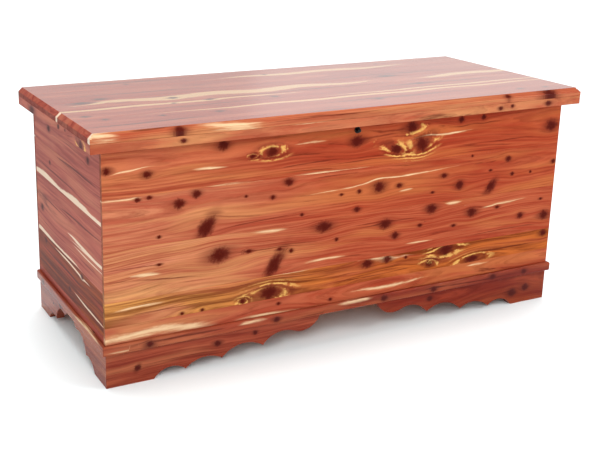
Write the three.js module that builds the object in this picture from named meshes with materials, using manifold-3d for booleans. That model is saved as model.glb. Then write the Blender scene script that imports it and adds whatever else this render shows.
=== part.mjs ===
// A flat-topped cedar chest: a box of edge-glued boards with lapped corners, standing on
// scalloped bracket feet, with a moulding round its base and a lid on a continuous hinge.
// Millimetres, +Z up, front towards -Y. The origin is on the floor, under the middle of the lid.

import * as THREE from 'three';
import { mergeVertices } from 'three/addons/utils/BufferGeometryUtils.js';
import Module from 'manifold-3d';

const wasm = await Module();
wasm.setup();

// Driving dimensions

const LID_LENGTH = 1219;
const LID_DEPTH = 508;
const TOTAL_HEIGHT = 540;
const BOARD = 19;
const GAP = 0.3;

const SIDE_OVERHANG = 30;
const FRONT_OVERHANG = 27;
const BACK_OVERHANG = 9;
const LID_CHAMFER = 9;
const LID_EDGE_HEIGHT = 19;
const LID_EDGE_CLEARANCE = 2;

const FOOT_HEIGHT = 74.5;
const MOULDING_HEIGHT = 21.5;
const MOULDING_PROJECTION = 7;
const MOULDING_ROUND_TOP = 4;
const MOULDING_ROUND_BOTTOM = 2.5;
const CORNER_LAP = 9.5;
const CLEAT = 19;
const BOTTOM_THICKNESS = 12;
const CORNER_BLOCK = 42;

const HINGE_LENGTH = 1100;
const KNUCKLE_COUNT = 22;
const KNUCKLE_RADIUS = 3.5;
const KNUCKLE_BORE = 1.4;
const HINGE_PIN_RADIUS = 1.25;
const LEAF_THICKNESS = 1.2;
const LEAF_WIDTH = 17;

const STAY_ARM_WIDTH = 14;
const STAY_ARM_THICKNESS = 2;
const STAY_PIN_RADIUS = 2.4;
const STAY_HOLE_RADIUS = 2.5;
const STAY_LID_PIVOT = { behind: 200, below: 9.2 };
const STAY_BOX_PIVOT = { behind: 62, below: 118 };

const LOCK_HEIGHT = 488;
const LOCK_BEZEL_RADIUS = 7.5;
const LOCK_BARREL_RADIUS = 6.5;
const LOCK_PLUNGER_RADIUS = 4.5;
const LOCK_BORE_RADIUS = 4.6;
const LOCK_TRAVEL = 8;

const SCREW_HEAD_RADIUS = 2.8;
const SCREW_HEAD_HEIGHT = 1.6;
const SCREW_SHANK_RADIUS = 1.6;
const SCREW_HOLE_RADIUS = 1.9;

// Planes worked out from them

const LID_HALF = LID_LENGTH / 2;
const LID_FRONT = -LID_DEPTH / 2;
const LID_BACK = LID_DEPTH / 2;
const LID_UNDERSIDE = TOTAL_HEIGHT - BOARD;
const RIM = LID_UNDERSIDE - GAP;
const BOX_HALF = LID_HALF - SIDE_OVERHANG;
const BOX_FRONT = LID_FRONT + FRONT_OVERHANG;
const BOX_BACK = LID_BACK - BACK_OVERHANG;
const INSIDE_HALF = BOX_HALF - BOARD;
const INSIDE_FRONT = BOX_FRONT + BOARD;
const INSIDE_BACK = BOX_BACK - BOARD;
const FOOT_TOP = FOOT_HEIGHT - GAP;
const HINGE_Y = BOX_BACK + GAP + KNUCKLE_RADIUS;
const HINGE_Z = LID_UNDERSIDE - GAP - KNUCKLE_RADIUS;

const COLOURS = {
  heartwood: 0xc5683f,
  side: 0xa86a58,
  lid: 0xd09484,
  base: 0xa04a30,
  inside: 0xc98a62,
  brass: 0xb8935a,
  steel: 0x8f8c88,
  black: 0x101010,
};

const chest = new THREE.Group();

// Adds one named piece with a material of its own.
function addPiece(name, geometry, colour, metal = false) {
  const material = new THREE.MeshStandardMaterial({
    color: COLOURS[colour],
    roughness: metal ? 0.35 : 0.45,
    metalness: metal ? 0.9 : 0,
  });
  const mesh = new THREE.Mesh(geometry, material);
  mesh.name = name;
  chest.add(mesh);
}

// Booleans: geometry to solid and back.

function toSolid(geometry) {
  const bare = geometry.clone();
  bare.deleteAttribute('normal');
  bare.deleteAttribute('uv');
  const merged = mergeVertices(bare, 1e-4);
  return new wasm.Manifold(new wasm.Mesh({
    numProp: 3,
    vertProperties: new Float32Array(merged.attributes.position.array),
    triVerts: new Uint32Array(merged.index.array),
  }));
}

function toGeometry(solid) {
  const mesh = solid.getMesh();
  const geometry = new THREE.BufferGeometry();
  geometry.setAttribute('position', new THREE.BufferAttribute(mesh.vertProperties, 3));
  geometry.setIndex(new THREE.BufferAttribute(mesh.triVerts, 1));
  return geometry;
}

function cut(geometry, ...tools) {
  return toGeometry(tools.reduce((solid, tool) => solid.subtract(toSolid(tool)), toSolid(geometry)));
}

function join(geometry, ...others) {
  return toGeometry(others.reduce((solid, other) => solid.add(toSolid(other)), toSolid(geometry)));
}

// Basic solids, placed by the planes that bound them.

function box([x0, x1], [y0, y1], [z0, z1]) {
  return new THREE.BoxGeometry(x1 - x0, y1 - y0, z1 - z0)
    .translate((x0 + x1) / 2, (y0 + y1) / 2, (z0 + z1) / 2);
}

function extrude(shape, depth) {
  return new THREE.ExtrudeGeometry(shape, { depth, bevelEnabled: false, curveSegments: 10 });
}

const TURNS = {
  x: new THREE.Matrix4().makeBasis(
    new THREE.Vector3(0, 1, 0), new THREE.Vector3(0, 0, 1), new THREE.Vector3(1, 0, 0)),
  y: new THREE.Matrix4().makeBasis(
    new THREE.Vector3(0, 0, 1), new THREE.Vector3(1, 0, 0), new THREE.Vector3(0, 1, 0)),
  z: new THREE.Matrix4(),
};

// Extrudes a shape along an axis. The shape's two directions are the next two axes in turn:
// y and z for x, z and x for y, x and y for z.
function extrudeAlong(axis, shape, from, to) {
  const geometry = extrude(shape, to - from).translate(0, 0, from);
  return geometry.applyMatrix4(TURNS[axis]);
}

function polygon(points) {
  return new THREE.Shape(points.map(([u, v]) => new THREE.Vector2(u, v)));
}

// A round bar along an axis, from one plane to another, centred on (u, v) in the next two axes.
function bar(axis, radius, from, to, [u, v], sides = 16) {
  const shape = new THREE.Shape();
  for (let i = 0; i < sides; i += 1) {
    const angle = ((i + 0.5) / sides) * 2 * Math.PI;
    const point = [u + radius * Math.cos(angle), v + radius * Math.sin(angle)];
    if (i === 0) shape.moveTo(...point);
    else shape.lineTo(...point);
  }
  return extrudeAlong(axis, shape, from, to);
}

// A wood screw: its head stands on the plane `face` and its shank runs from there by `length`.
// `into` is +1 or -1, the way the shank points along the axis.
function addScrew(name, axis, face, into, length, centre) {
  const headOut = face - into * (GAP + SCREW_HEAD_HEIGHT);
  const headIn = face - into * GAP;
  const tip = face + into * length;
  const sorted = (a, b) => [Math.min(a, b), Math.max(a, b)];
  const head = bar(axis, SCREW_HEAD_RADIUS, ...sorted(headOut, headIn), centre, 10);
  const shank = bar(axis, SCREW_SHANK_RADIUS, ...sorted(headIn - into * 0.5, tip), centre, 8);
  addPiece(name, join(head, shank), 'steel', true);
}

// The hole that such a screw goes into, a little deeper than its tip.
function screwHole(axis, face, into, length, centre) {
  const start = face - into * 2;
  const end = face + into * (length + 1);
  return bar(axis, SCREW_HOLE_RADIUS, Math.min(start, end), Math.max(start, end), centre, 8);
}

// The box: front and back panels lap over the ends of the side panels.

const PANEL_Z = [FOOT_HEIGHT, RIM];

// Plan of a front or back panel: `outer` is its outside plane and `inward` points into the box.
function lappedPanel(outer, inward) {
  const lap = outer + inward * CORNER_LAP;
  const inner = outer + inward * BOARD;
  return extrudeAlong('z', polygon([
    [-BOX_HALF, outer],
    [BOX_HALF, outer],
    [BOX_HALF, lap],
    [INSIDE_HALF - GAP, lap],
    [INSIDE_HALF - GAP, inner],
    [-INSIDE_HALF + GAP, inner],
    [-INSIDE_HALF + GAP, lap],
    [-BOX_HALF, lap],
  ]), ...PANEL_Z);
}

const LOCK_CASE = { half: 22, low: 475, high: 501, depth: 13.7 };
const LOCK_CASE_BACK = INSIDE_FRONT + GAP + LOCK_CASE.depth;
const LOCK_SCREW_X = 15;
const LOCK_SCREW_LENGTH = LOCK_CASE.depth + 10;
const lockCentre = [LOCK_HEIGHT, 0];

const lockBarrelHole = bar('y', LOCK_BARREL_RADIUS + GAP, BOX_FRONT - 1, INSIDE_FRONT + 1, lockCentre, 24);
const lockScrewHoles = [-1, 1].map((side) =>
  screwHole('y', LOCK_CASE_BACK, -1, LOCK_SCREW_LENGTH, [LOCK_HEIGHT, side * LOCK_SCREW_X]));

addPiece('front_panel', cut(lappedPanel(BOX_FRONT, 1), lockBarrelHole, ...lockScrewHoles), 'heartwood');

// The back panel's top edge is let down for the hinge leaf that lies on it.
const hingeRebate = box(
  [-HINGE_LENGTH / 2 - 1, HINGE_LENGTH / 2 + 1],
  [INSIDE_BACK - 1, BOX_BACK + 1],
  [RIM - LEAF_THICKNESS - GAP, RIM + 1],
);
addPiece('back_panel', cut(lappedPanel(BOX_BACK, -1), hingeRebate), 'side');

// Folding stays, one inside each end of the box. With the hinge as their third pivot and the
// lid as their fourth side, the two arms make a parallelogram: the lower arm stays parallel to
// the lid and the upper arm keeps its direction, so both turn at a constant ratio to the lid.

const stayBoxPivot = [HINGE_Y - STAY_BOX_PIVOT.behind, HINGE_Z - STAY_BOX_PIVOT.below];
const stayLidPivot = [HINGE_Y - STAY_LID_PIVOT.behind, HINGE_Z - STAY_LID_PIVOT.below];
const stayElbow = [
  HINGE_Y - STAY_BOX_PIVOT.behind - STAY_LID_PIVOT.behind,
  HINGE_Z - STAY_BOX_PIVOT.below - STAY_LID_PIVOT.below,
];

const BOX_PLATE_IN = INSIDE_HALF - GAP - STAY_ARM_THICKNESS;
const LOWER_ARM_OUT = BOX_PLATE_IN - 0.7;
const LOWER_ARM_IN = LOWER_ARM_OUT - STAY_ARM_THICKNESS;
const UPPER_ARM_OUT = LOWER_ARM_IN - 1.2;
const UPPER_ARM_IN = UPPER_ARM_OUT - STAY_ARM_THICKNESS;
const LID_PLATE_OUT = UPPER_ARM_IN - 0.7;
const LID_PLATE_IN = LID_PLATE_OUT - STAY_ARM_THICKNESS;
const RIVET_HEAD = 0.7;
const RIVET_HEAD_RADIUS = 4;
const STAY_SCREW_DROPS = [16, 32];
const STAY_SCREW_LENGTH = 14;
const LID_PLATE_SCREWS = [-20, 20];
const LID_SCREW_X = UPPER_ARM_OUT + 1.8;
const LID_SCREW_LENGTH = 14;
const LID_PLATE_Z = LID_UNDERSIDE - GAP - STAY_ARM_THICKNESS;

// Puts a span measured outwards from the middle of the chest on the left (-1) or right (+1).
function span(side, near, far) {
  return side > 0 ? [near, far] : [-far, -near];
}

function armShape([y0, z0], [y1, z1]) {
  const angle = Math.atan2(z1 - z0, y1 - y0);
  const radius = STAY_ARM_WIDTH / 2;
  const shape = new THREE.Shape();
  shape.absarc(y0, z0, radius, angle + Math.PI / 2, angle + 1.5 * Math.PI, false);
  shape.absarc(y1, z1, radius, angle - Math.PI / 2, angle + Math.PI / 2, false);
  return shape;
}

function stayArm(side, near, far, pivot, elbow) {
  const [from, to] = span(side, near, far);
  const holes = [pivot, elbow].map((centre) => bar('x', STAY_HOLE_RADIUS, from - 1, to + 1, centre));
  return cut(extrudeAlong('x', armShape(pivot, elbow), from, to), ...holes);
}

function stayBoxPlate(side) {
  const [y, z] = stayBoxPivot;
  const half = STAY_ARM_WIDTH / 2 + 2;
  const foot = z - STAY_SCREW_DROPS[1] - 8;
  const plate = box(span(side, BOX_PLATE_IN, INSIDE_HALF - GAP), [y - half, y + half], [foot, z + half]);
  const stud = bar('x', STAY_PIN_RADIUS, ...span(side, LOWER_ARM_IN - GAP, BOX_PLATE_IN + 1), stayBoxPivot);
  const headSpan = span(side, LOWER_ARM_IN - 0.2 - RIVET_HEAD, LOWER_ARM_IN - 0.2);
  const head = bar('x', RIVET_HEAD_RADIUS, ...headSpan, stayBoxPivot);
  const holes = STAY_SCREW_DROPS.map((drop) =>
    bar('x', SCREW_HOLE_RADIUS, ...span(side, BOX_PLATE_IN - 1, INSIDE_HALF + 1), [y, z - drop], 8));
  return cut(join(plate, stud, head), ...holes);
}

function stayLidPlate(side) {
  const [y, z] = stayLidPivot;
  const tab = box(span(side, LID_PLATE_IN, LID_PLATE_OUT), [y - 13, y + 13], [z - 9, LID_UNDERSIDE - GAP]);
  const flange = box(
    span(side, LID_PLATE_IN, INSIDE_HALF - 1),
    [y - 30, y + 30],
    [LID_PLATE_Z, LID_UNDERSIDE - GAP],
  );
  const stud = bar('x', STAY_PIN_RADIUS, ...span(side, LID_PLATE_OUT - 1, UPPER_ARM_OUT + 0.3), stayLidPivot);
  const headSpan = span(side, UPPER_ARM_OUT + 0.2, UPPER_ARM_OUT + 0.2 + RIVET_HEAD);
  const head = bar('x', RIVET_HEAD_RADIUS, ...headSpan, stayLidPivot);
  const holes = LID_PLATE_SCREWS.map((offset) =>
    bar('z', SCREW_HOLE_RADIUS, LID_PLATE_Z - 1, LID_UNDERSIDE, [side * LID_SCREW_X, y + offset], 8));
  return cut(join(tab, flange, stud, head), ...holes);
}

// The elbow's rivet turns with the lower arm and runs in the upper arm's hole.
function stayElbowRivet(side) {
  const shank = bar('x', STAY_PIN_RADIUS, ...span(side, UPPER_ARM_IN - 0.3, LOWER_ARM_OUT + 0.2), stayElbow);
  const inner = bar(
    'x', RIVET_HEAD_RADIUS, ...span(side, UPPER_ARM_IN - 0.2 - RIVET_HEAD, UPPER_ARM_IN - 0.2), stayElbow);
  const outer = bar(
    'x', RIVET_HEAD_RADIUS, ...span(side, LOWER_ARM_OUT + 0.1, LOWER_ARM_OUT + 0.5), stayElbow);
  return join(shank, inner, outer);
}

const stayScrewHoles = { left: [], right: [] };
for (const [label, side] of [['left', -1], ['right', 1]]) {
  addPiece(`stay_box_plate_${label}`, stayBoxPlate(side), 'brass', true);
  addPiece(`stay_lid_plate_${label}`, stayLidPlate(side), 'brass', true);
  const lowerArm = stayArm(side, LOWER_ARM_IN, LOWER_ARM_OUT, stayBoxPivot, stayElbow);
  addPiece(`stay_lower_arm_${label}`, lowerArm, 'brass', true);
  const upperArm = stayArm(side, UPPER_ARM_IN, UPPER_ARM_OUT, stayLidPivot, stayElbow);
  addPiece(`stay_upper_arm_${label}`, upperArm, 'brass', true);
  addPiece(`stay_elbow_rivet_${label}`, stayElbowRivet(side), 'brass', true);
  STAY_SCREW_DROPS.forEach((drop, index) => {
    const centre = [stayBoxPivot[0], stayBoxPivot[1] - drop];
    const face = side * BOX_PLATE_IN;
    addScrew(`stay_box_screw_${label}_${index + 1}`, 'x', face, side, STAY_SCREW_LENGTH, centre);
    stayScrewHoles[label].push(screwHole('x', face, side, STAY_SCREW_LENGTH, centre));
  });
}

for (const [label, side] of [['left', -1], ['right', 1]]) {
  const sidePanel = box(
    span(side, INSIDE_HALF, BOX_HALF),
    [BOX_FRONT + CORNER_LAP + GAP, BOX_BACK - CORNER_LAP - GAP],
    PANEL_Z,
  );
  addPiece(`${label}_side_panel`, cut(sidePanel, ...stayScrewHoles[label]), 'side');
}

// Bottom board on cleats

const cleatZ = [FOOT_HEIGHT, FOOT_HEIGHT + CLEAT];
const bottomZ = [cleatZ[1] + GAP, cleatZ[1] + GAP + BOTTOM_THICKNESS];
const inX = [-INSIDE_HALF + GAP, INSIDE_HALF - GAP];
const inY = [INSIDE_FRONT + GAP, INSIDE_BACK - GAP];
const betweenCleats = [inY[0] + CLEAT + GAP, inY[1] - CLEAT - GAP];
addPiece('bottom_panel', box(inX, inY, bottomZ), 'inside');
addPiece('bottom_cleat_front', box(inX, [inY[0], inY[0] + CLEAT], cleatZ), 'inside');
addPiece('bottom_cleat_back', box(inX, [inY[1] - CLEAT, inY[1]], cleatZ), 'inside');
addPiece('bottom_cleat_left', box([inX[0], inX[0] + CLEAT], betweenCleats, cleatZ), 'inside');
addPiece('bottom_cleat_right', box([inX[1] - CLEAT, inX[1]], betweenCleats, cleatZ), 'inside');

// Base moulding on the front and the ends, mitred at the front corners and rounded along its edges.

const MOULDING_Z = [FOOT_HEIGHT, FOOT_HEIGHT + MOULDING_HEIGHT];

// Section with `out` as the outward direction (+1 or -1) along the shape's first or second axis.
function mouldingShape(face, out, swapped) {
  const outer = GAP + MOULDING_PROJECTION;
  const [low, high] = MOULDING_Z;
  const corner = (radius, v0, away) => [1, 2, 3, 4].map((step) => {
    const angle = (step / 5) * (Math.PI / 2);
    return [outer - radius + radius * Math.sin(angle), v0 + away * radius * (1 - Math.cos(angle))];
  });
  const outline = [
    [GAP, low],
    [outer - MOULDING_ROUND_BOTTOM, low],
    ...corner(MOULDING_ROUND_BOTTOM, low, 1),
    [outer, low + MOULDING_ROUND_BOTTOM],
    [outer, high - MOULDING_ROUND_TOP],
    ...corner(MOULDING_ROUND_TOP, high, -1).reverse(),
    [outer - MOULDING_ROUND_TOP, high],
    [GAP, high],
  ];
  return polygon(outline.map(([depth, z]) => (swapped ? [z, face + out * depth] : [face + out * depth, z])));
}

// Moves the vertices of one end face along `end.axis`, in step with how far they stand out from
// the corner, which turns a square end into a mitre.
function mitre(geometry, { axis, at, shift }) {
  const position = geometry.attributes.position;
  const index = { x: 0, y: 1, z: 2 }[axis];
  for (let i = 0; i < position.count; i += 1) {
    const point = [position.getX(i), position.getY(i), position.getZ(i)];
    if (Math.abs(point[index] - at) < 0.01) {
      point[index] += shift(point);
      position.setXYZ(i, ...point);
    }
  }
  return geometry;
}

const MITRE_GAP = 0.2;
const frontMoulding = extrudeAlong('x', mouldingShape(BOX_FRONT, -1, false), -BOX_HALF, BOX_HALF);
for (const side of [-1, 1]) {
  const shift = ([, y]) => side * (BOX_FRONT - y - MITRE_GAP);
  mitre(frontMoulding, { axis: 'x', at: side * BOX_HALF, shift });
}
addPiece('base_moulding_front', frontMoulding, 'base');

for (const [label, side] of [['left', -1], ['right', 1]]) {
  const face = side * BOX_HALF;
  const moulding = extrudeAlong('y', mouldingShape(face, side, true), BOX_FRONT, BOX_BACK);
  mitre(moulding, { axis: 'y', at: BOX_FRONT, shift: ([x]) => MITRE_GAP - (Math.abs(x) - BOX_HALF) });
  addPiece(`base_moulding_${label}`, moulding, 'base');
}

// Bracket feet. Each outline is measured from the corner: the flat that stands on the floor,
// then scallops given by their crown and their far cusp, then an ogee: an arch that turns
// smoothly into a round belly and runs up to the moulding.

const LONG_BRACKET = {
  flat: 104,
  scallops: [
    { crown: [141, 21], cusp: [176, 9] },
    { crown: [221, 27.5], cusp: [261, 16.5] },
    { crown: [313, 40.5], cusp: [360, 26.5] },
  ],
  ogee: { crown: [400, 50.5], turn: [437, 46], belly: [462, 42], end: 504 },
};
const SHORT_BRACKET = {
  flat: 73,
  scallops: [{ crown: [102, 21.5], cusp: [129, 18.5] }],
  ogee: { crown: [150, 50], turn: [184, 56], belly: [196, 55], end: 214 },
};

// Continues a shape with the circular arc through one point to another.
function arcTo(shape, through, end) {
  const [a, b, c] = [shape.currentPoint, new THREE.Vector2(...through), new THREE.Vector2(...end)];
  const d = 2 * (a.x * (b.y - c.y) + b.x * (c.y - a.y) + c.x * (a.y - b.y));
  const [aa, bb, cc] = [a, b, c].map((point) => point.lengthSq());
  const x = (aa * (b.y - c.y) + bb * (c.y - a.y) + cc * (a.y - b.y)) / d;
  const y = (aa * (c.x - b.x) + bb * (a.x - c.x) + cc * (b.x - a.x)) / d;
  const angleTo = (point) => Math.atan2(point.y - y, point.x - x);
  const radius = Math.hypot(a.x - x, a.y - y);
  shape.absarc(x, y, radius, angleTo(a), angleTo(c), d < 0);
}

// `run` is +1 or -1, the way the bracket runs from the corner. `swapped` puts the run on the
// shape's second axis, for a bracket that is extruded along y.
function bracketShape({ flat, scallops, ogee }, run, swapped) {
  const at = ([along, z]) => (swapped ? [z, run * along] : [run * along, z]);
  const shape = new THREE.Shape();
  shape.moveTo(...at([0, FOOT_TOP]));
  shape.lineTo(...at([0, 0]));
  shape.lineTo(...at([flat, 0]));
  for (const { crown, cusp } of scallops) arcTo(shape, at(crown), at(cusp));
  arcTo(shape, at(ogee.crown), at(ogee.turn));
  arcTo(shape, at(ogee.belly), at([ogee.end, FOOT_TOP]));
  return shape;
}

// A bracket on the front or back, with its corner at (cornerX, outer).
function bracketAlongX(outline, run, cornerX, outer, inward) {
  const [from, to] = inward > 0 ? [0, BOARD] : [-BOARD, 0];
  const bracket = extrudeAlong('y', bracketShape(outline, run, true), from, to);
  mitre(bracket, { axis: 'x', at: 0, shift: ([, y]) => run * Math.abs(y) });
  return bracket.translate(cornerX + run * MITRE_GAP, outer, 0);
}

// A bracket on an end, with its corner at (outer, cornerY).
function bracketAlongY(outline, run, cornerY, outer, inward) {
  const [from, to] = inward > 0 ? [0, BOARD] : [-BOARD, 0];
  const bracket = extrudeAlong('x', bracketShape(outline, run, false), from, to);
  mitre(bracket, { axis: 'y', at: 0, shift: ([x]) => run * Math.abs(x) });
  return bracket.translate(outer, cornerY + run * MITRE_GAP, 0);
}

const BLOCK_Z = [3, FOOT_TOP];
for (const [label, side] of [['left', -1], ['right', 1]]) {
  const cornerX = side * BOX_HALF;
  addPiece(`bracket_front_${label}`, bracketAlongX(LONG_BRACKET, -side, cornerX, BOX_FRONT, 1), 'base');
  addPiece(`bracket_back_${label}`, bracketAlongX(SHORT_BRACKET, -side, cornerX, BOX_BACK, -1), 'base');
  addPiece(`bracket_${label}_front`, bracketAlongY(SHORT_BRACKET, 1, BOX_FRONT, cornerX, -side), 'base');
  addPiece(`bracket_${label}_back`, bracketAlongY(SHORT_BRACKET, -1, BOX_BACK, cornerX, -side), 'base');
  for (const [end, run, face] of [['front', 1, INSIDE_FRONT], ['back', -1, INSIDE_BACK]]) {
    const x = side * (INSIDE_HALF - GAP);
    const y = face + run * GAP;
    const block = polygon([
      [x, y],
      [x - side * CORNER_BLOCK, y],
      [x - side * CORNER_BLOCK, y + run * 8],
      [x - side * 8, y + run * CORNER_BLOCK],
      [x, y + run * CORNER_BLOCK],
    ]);
    addPiece(`corner_block_${end}_${label}`, extrudeAlong('z', block, ...BLOCK_Z), 'inside');
  }
}

// Lid: one panel with its top edges chamfered on the front and the ends, and edge strips under
// its overhang that hang clear of the box.

const STRIKE = { half: 20, tabHalf: 12, thickness: 2.5, length: 26, low: 480, holeRadius: 5.3 };
const STRIKE_FRONT = LOCK_CASE_BACK + 2.5;
const STRIKE_SCREW = { x: 14, y: STRIKE_FRONT + 16 };
const STRIKE_PLATE_Z = LID_UNDERSIDE - GAP - 2;

function chamferTool(axis, corner, outward) {
  const reach = LID_CHAMFER + 2;
  const triangle = axis === 'x'
    ? [[corner + outward * 2, TOTAL_HEIGHT - reach], [corner + outward * 2, TOTAL_HEIGHT + 2],
      [corner - outward * reach, TOTAL_HEIGHT + 2]]
    : [[TOTAL_HEIGHT - reach, corner + outward * 2], [TOTAL_HEIGHT + 2, corner + outward * 2],
      [TOTAL_HEIGHT + 2, corner - outward * reach]];
  return extrudeAlong(axis, polygon(triangle), -LID_LENGTH, LID_LENGTH);
}

const lidScrewHoles = [];
for (const [label, side] of [['left', -1], ['right', 1]]) {
  LID_PLATE_SCREWS.forEach((offset, index) => {
    const centre = [side * LID_SCREW_X, stayLidPivot[0] + offset];
    addScrew(`stay_lid_screw_${label}_${index + 1}`, 'z', LID_PLATE_Z, 1, LID_SCREW_LENGTH, centre);
    lidScrewHoles.push(screwHole('z', LID_PLATE_Z, 1, LID_SCREW_LENGTH, centre));
  });
  const centre = [side * STRIKE_SCREW.x, STRIKE_SCREW.y];
  addScrew(`lock_strike_screw_${label}`, 'z', STRIKE_PLATE_Z, 1, LID_SCREW_LENGTH, centre);
  lidScrewHoles.push(screwHole('z', STRIKE_PLATE_Z, 1, LID_SCREW_LENGTH, centre));
}
const lidBlank = box([-LID_HALF, LID_HALF], [LID_FRONT, LID_BACK], [LID_UNDERSIDE, TOTAL_HEIGHT]);
const chamfers = [
  chamferTool('x', LID_FRONT, -1),
  chamferTool('y', -LID_HALF, -1),
  chamferTool('y', LID_HALF, 1),
];
addPiece('lid_panel', cut(lidBlank, ...chamfers, ...lidScrewHoles), 'lid');

const edgeZ = [LID_UNDERSIDE - GAP - LID_EDGE_HEIGHT, LID_UNDERSIDE - GAP];
const edgeFront = BOX_FRONT - LID_EDGE_CLEARANCE;
const edgeSide = BOX_HALF + LID_EDGE_CLEARANCE;
addPiece('lid_edge_front', extrudeAlong('z', polygon([
  [-LID_HALF + GAP, LID_FRONT],
  [LID_HALF - GAP, LID_FRONT],
  [edgeSide - GAP, edgeFront],
  [-edgeSide + GAP, edgeFront],
]), ...edgeZ), 'heartwood');
for (const [label, side] of [['left', -1], ['right', 1]]) {
  addPiece(`lid_edge_${label}`, extrudeAlong('z', polygon([
    [side * LID_HALF, LID_FRONT + GAP],
    [side * edgeSide, edgeFront + GAP],
    [side * edgeSide, LID_BACK],
    [side * LID_HALF, LID_BACK],
  ]), ...edgeZ), 'side');
}

// Continuous hinge: the box's leaf stands against the back panel, and the lid's leaf lies in the
// rebate on its top edge. Knuckles belong to the two leaves by turns.

const KNUCKLE_PITCH = HINGE_LENGTH / KNUCKLE_COUNT;
const LEAF_START = KNUCKLE_RADIUS + 0.5;

function knuckle(index) {
  const from = -HINGE_LENGTH / 2 + index * KNUCKLE_PITCH + GAP / 2;
  return [from, from + KNUCKLE_PITCH - GAP];
}

// `leaf` holds the y and z spans of the flat plate, and `strap` those of the strips that join
// it to its knuckles.
function hingeLeaf(first, leaf, strap) {
  const ends = [-HINGE_LENGTH / 2, HINGE_LENGTH / 2];
  const pieces = [];
  for (let index = first; index < KNUCKLE_COUNT; index += 2) {
    const [from, to] = knuckle(index);
    pieces.push(bar('x', KNUCKLE_RADIUS, from, to, [HINGE_Y, HINGE_Z], 12));
    pieces.push(box([from, to], ...strap));
  }
  const bore = bar('x', KNUCKLE_BORE, ends[0] - 1, ends[1] + 1, [HINGE_Y, HINGE_Z], 12);
  return cut(join(box(ends, ...leaf), ...pieces), bore);
}

const boxLeafY = [HINGE_Y - KNUCKLE_RADIUS, HINGE_Y - KNUCKLE_RADIUS + LEAF_THICKNESS];
addPiece('hinge_leaf_box', hingeLeaf(
  0,
  [boxLeafY, [HINGE_Z - LEAF_START - LEAF_WIDTH, HINGE_Z - LEAF_START]],
  [boxLeafY, [HINGE_Z - LEAF_START - 1, HINGE_Z]],
), 'brass', true);

const lidLeafZ = [HINGE_Z + KNUCKLE_RADIUS - LEAF_THICKNESS, HINGE_Z + KNUCKLE_RADIUS];
addPiece('hinge_leaf_lid', hingeLeaf(
  1,
  [[HINGE_Y - LEAF_START - LEAF_WIDTH, HINGE_Y - LEAF_START], lidLeafZ],
  [[HINGE_Y - LEAF_START - 1, HINGE_Y], lidLeafZ],
), 'brass', true);

const pinEnds = [-HINGE_LENGTH / 2 + 1, HINGE_LENGTH / 2 - 1];
addPiece('hinge_pin', bar('x', HINGE_PIN_RADIUS, ...pinEnds, [HINGE_Y, HINGE_Z], 12), 'steel', true);

// Push lock: pressing the plunger in runs it through the case into the strike's hole.

const BEZEL_FRONT = BOX_FRONT - GAP - 1.5;
const barrelEnd = INSIDE_FRONT - 0.3;
const bore = bar('y', LOCK_BORE_RADIUS, BEZEL_FRONT - 1, LOCK_CASE_BACK + 1, lockCentre, 16);
const bezel = bar('y', LOCK_BEZEL_RADIUS, BEZEL_FRONT, BOX_FRONT - GAP, lockCentre, 24);
const barrel = bar('y', LOCK_BARREL_RADIUS, BEZEL_FRONT + 0.5, barrelEnd, lockCentre, 24);
addPiece('lock_barrel', cut(join(bezel, barrel), bore), 'black', true);

const caseBlock = box(
  [-LOCK_CASE.half, LOCK_CASE.half],
  [INSIDE_FRONT + GAP, LOCK_CASE_BACK],
  [LOCK_CASE.low, LOCK_CASE.high],
);
addPiece('lock_case', cut(caseBlock, bore, ...lockScrewHoles), 'steel', true);
for (const [label, side] of [['left', -1], ['right', 1]]) {
  const centre = [LOCK_HEIGHT, side * LOCK_SCREW_X];
  addScrew(`lock_case_screw_${label}`, 'y', LOCK_CASE_BACK, -1, LOCK_SCREW_LENGTH, centre);
}

const plungerSpan = [BEZEL_FRONT - LOCK_TRAVEL, LOCK_CASE_BACK - 0.5];
addPiece('lock_plunger', bar('y', LOCK_PLUNGER_RADIUS, ...plungerSpan, lockCentre), 'black', true);

const strikeTab = box(
  [-STRIKE.tabHalf, STRIKE.tabHalf],
  [STRIKE_FRONT, STRIKE_FRONT + STRIKE.thickness],
  [STRIKE.low, LID_UNDERSIDE - GAP],
);
const strikePlate = box(
  [-STRIKE.half, STRIKE.half],
  [STRIKE_FRONT, STRIKE_FRONT + STRIKE.length],
  [STRIKE_PLATE_Z, LID_UNDERSIDE - GAP],
);
const strikeHole = bar('y', STRIKE.holeRadius, STRIKE_FRONT - 1, STRIKE_FRONT + 4, lockCentre, 20);
const strikeScrewHoles = [-1, 1].map((side) =>
  bar('z', SCREW_HOLE_RADIUS, STRIKE_PLATE_Z - 1, LID_UNDERSIDE, [side * STRIKE_SCREW.x, STRIKE_SCREW.y], 8));
addPiece('lock_strike', cut(join(strikeTab, strikePlate), strikeHole, ...strikeScrewHoles), 'steel', true);

export default chest;
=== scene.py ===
"""Looks of the cedar chest: varnished boards of red cedar, brass hinge and stays, and a push lock."""

import math
from types import SimpleNamespace

import bmesh
import bpy
import numpy as np
from mathutils import Matrix, Vector


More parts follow.
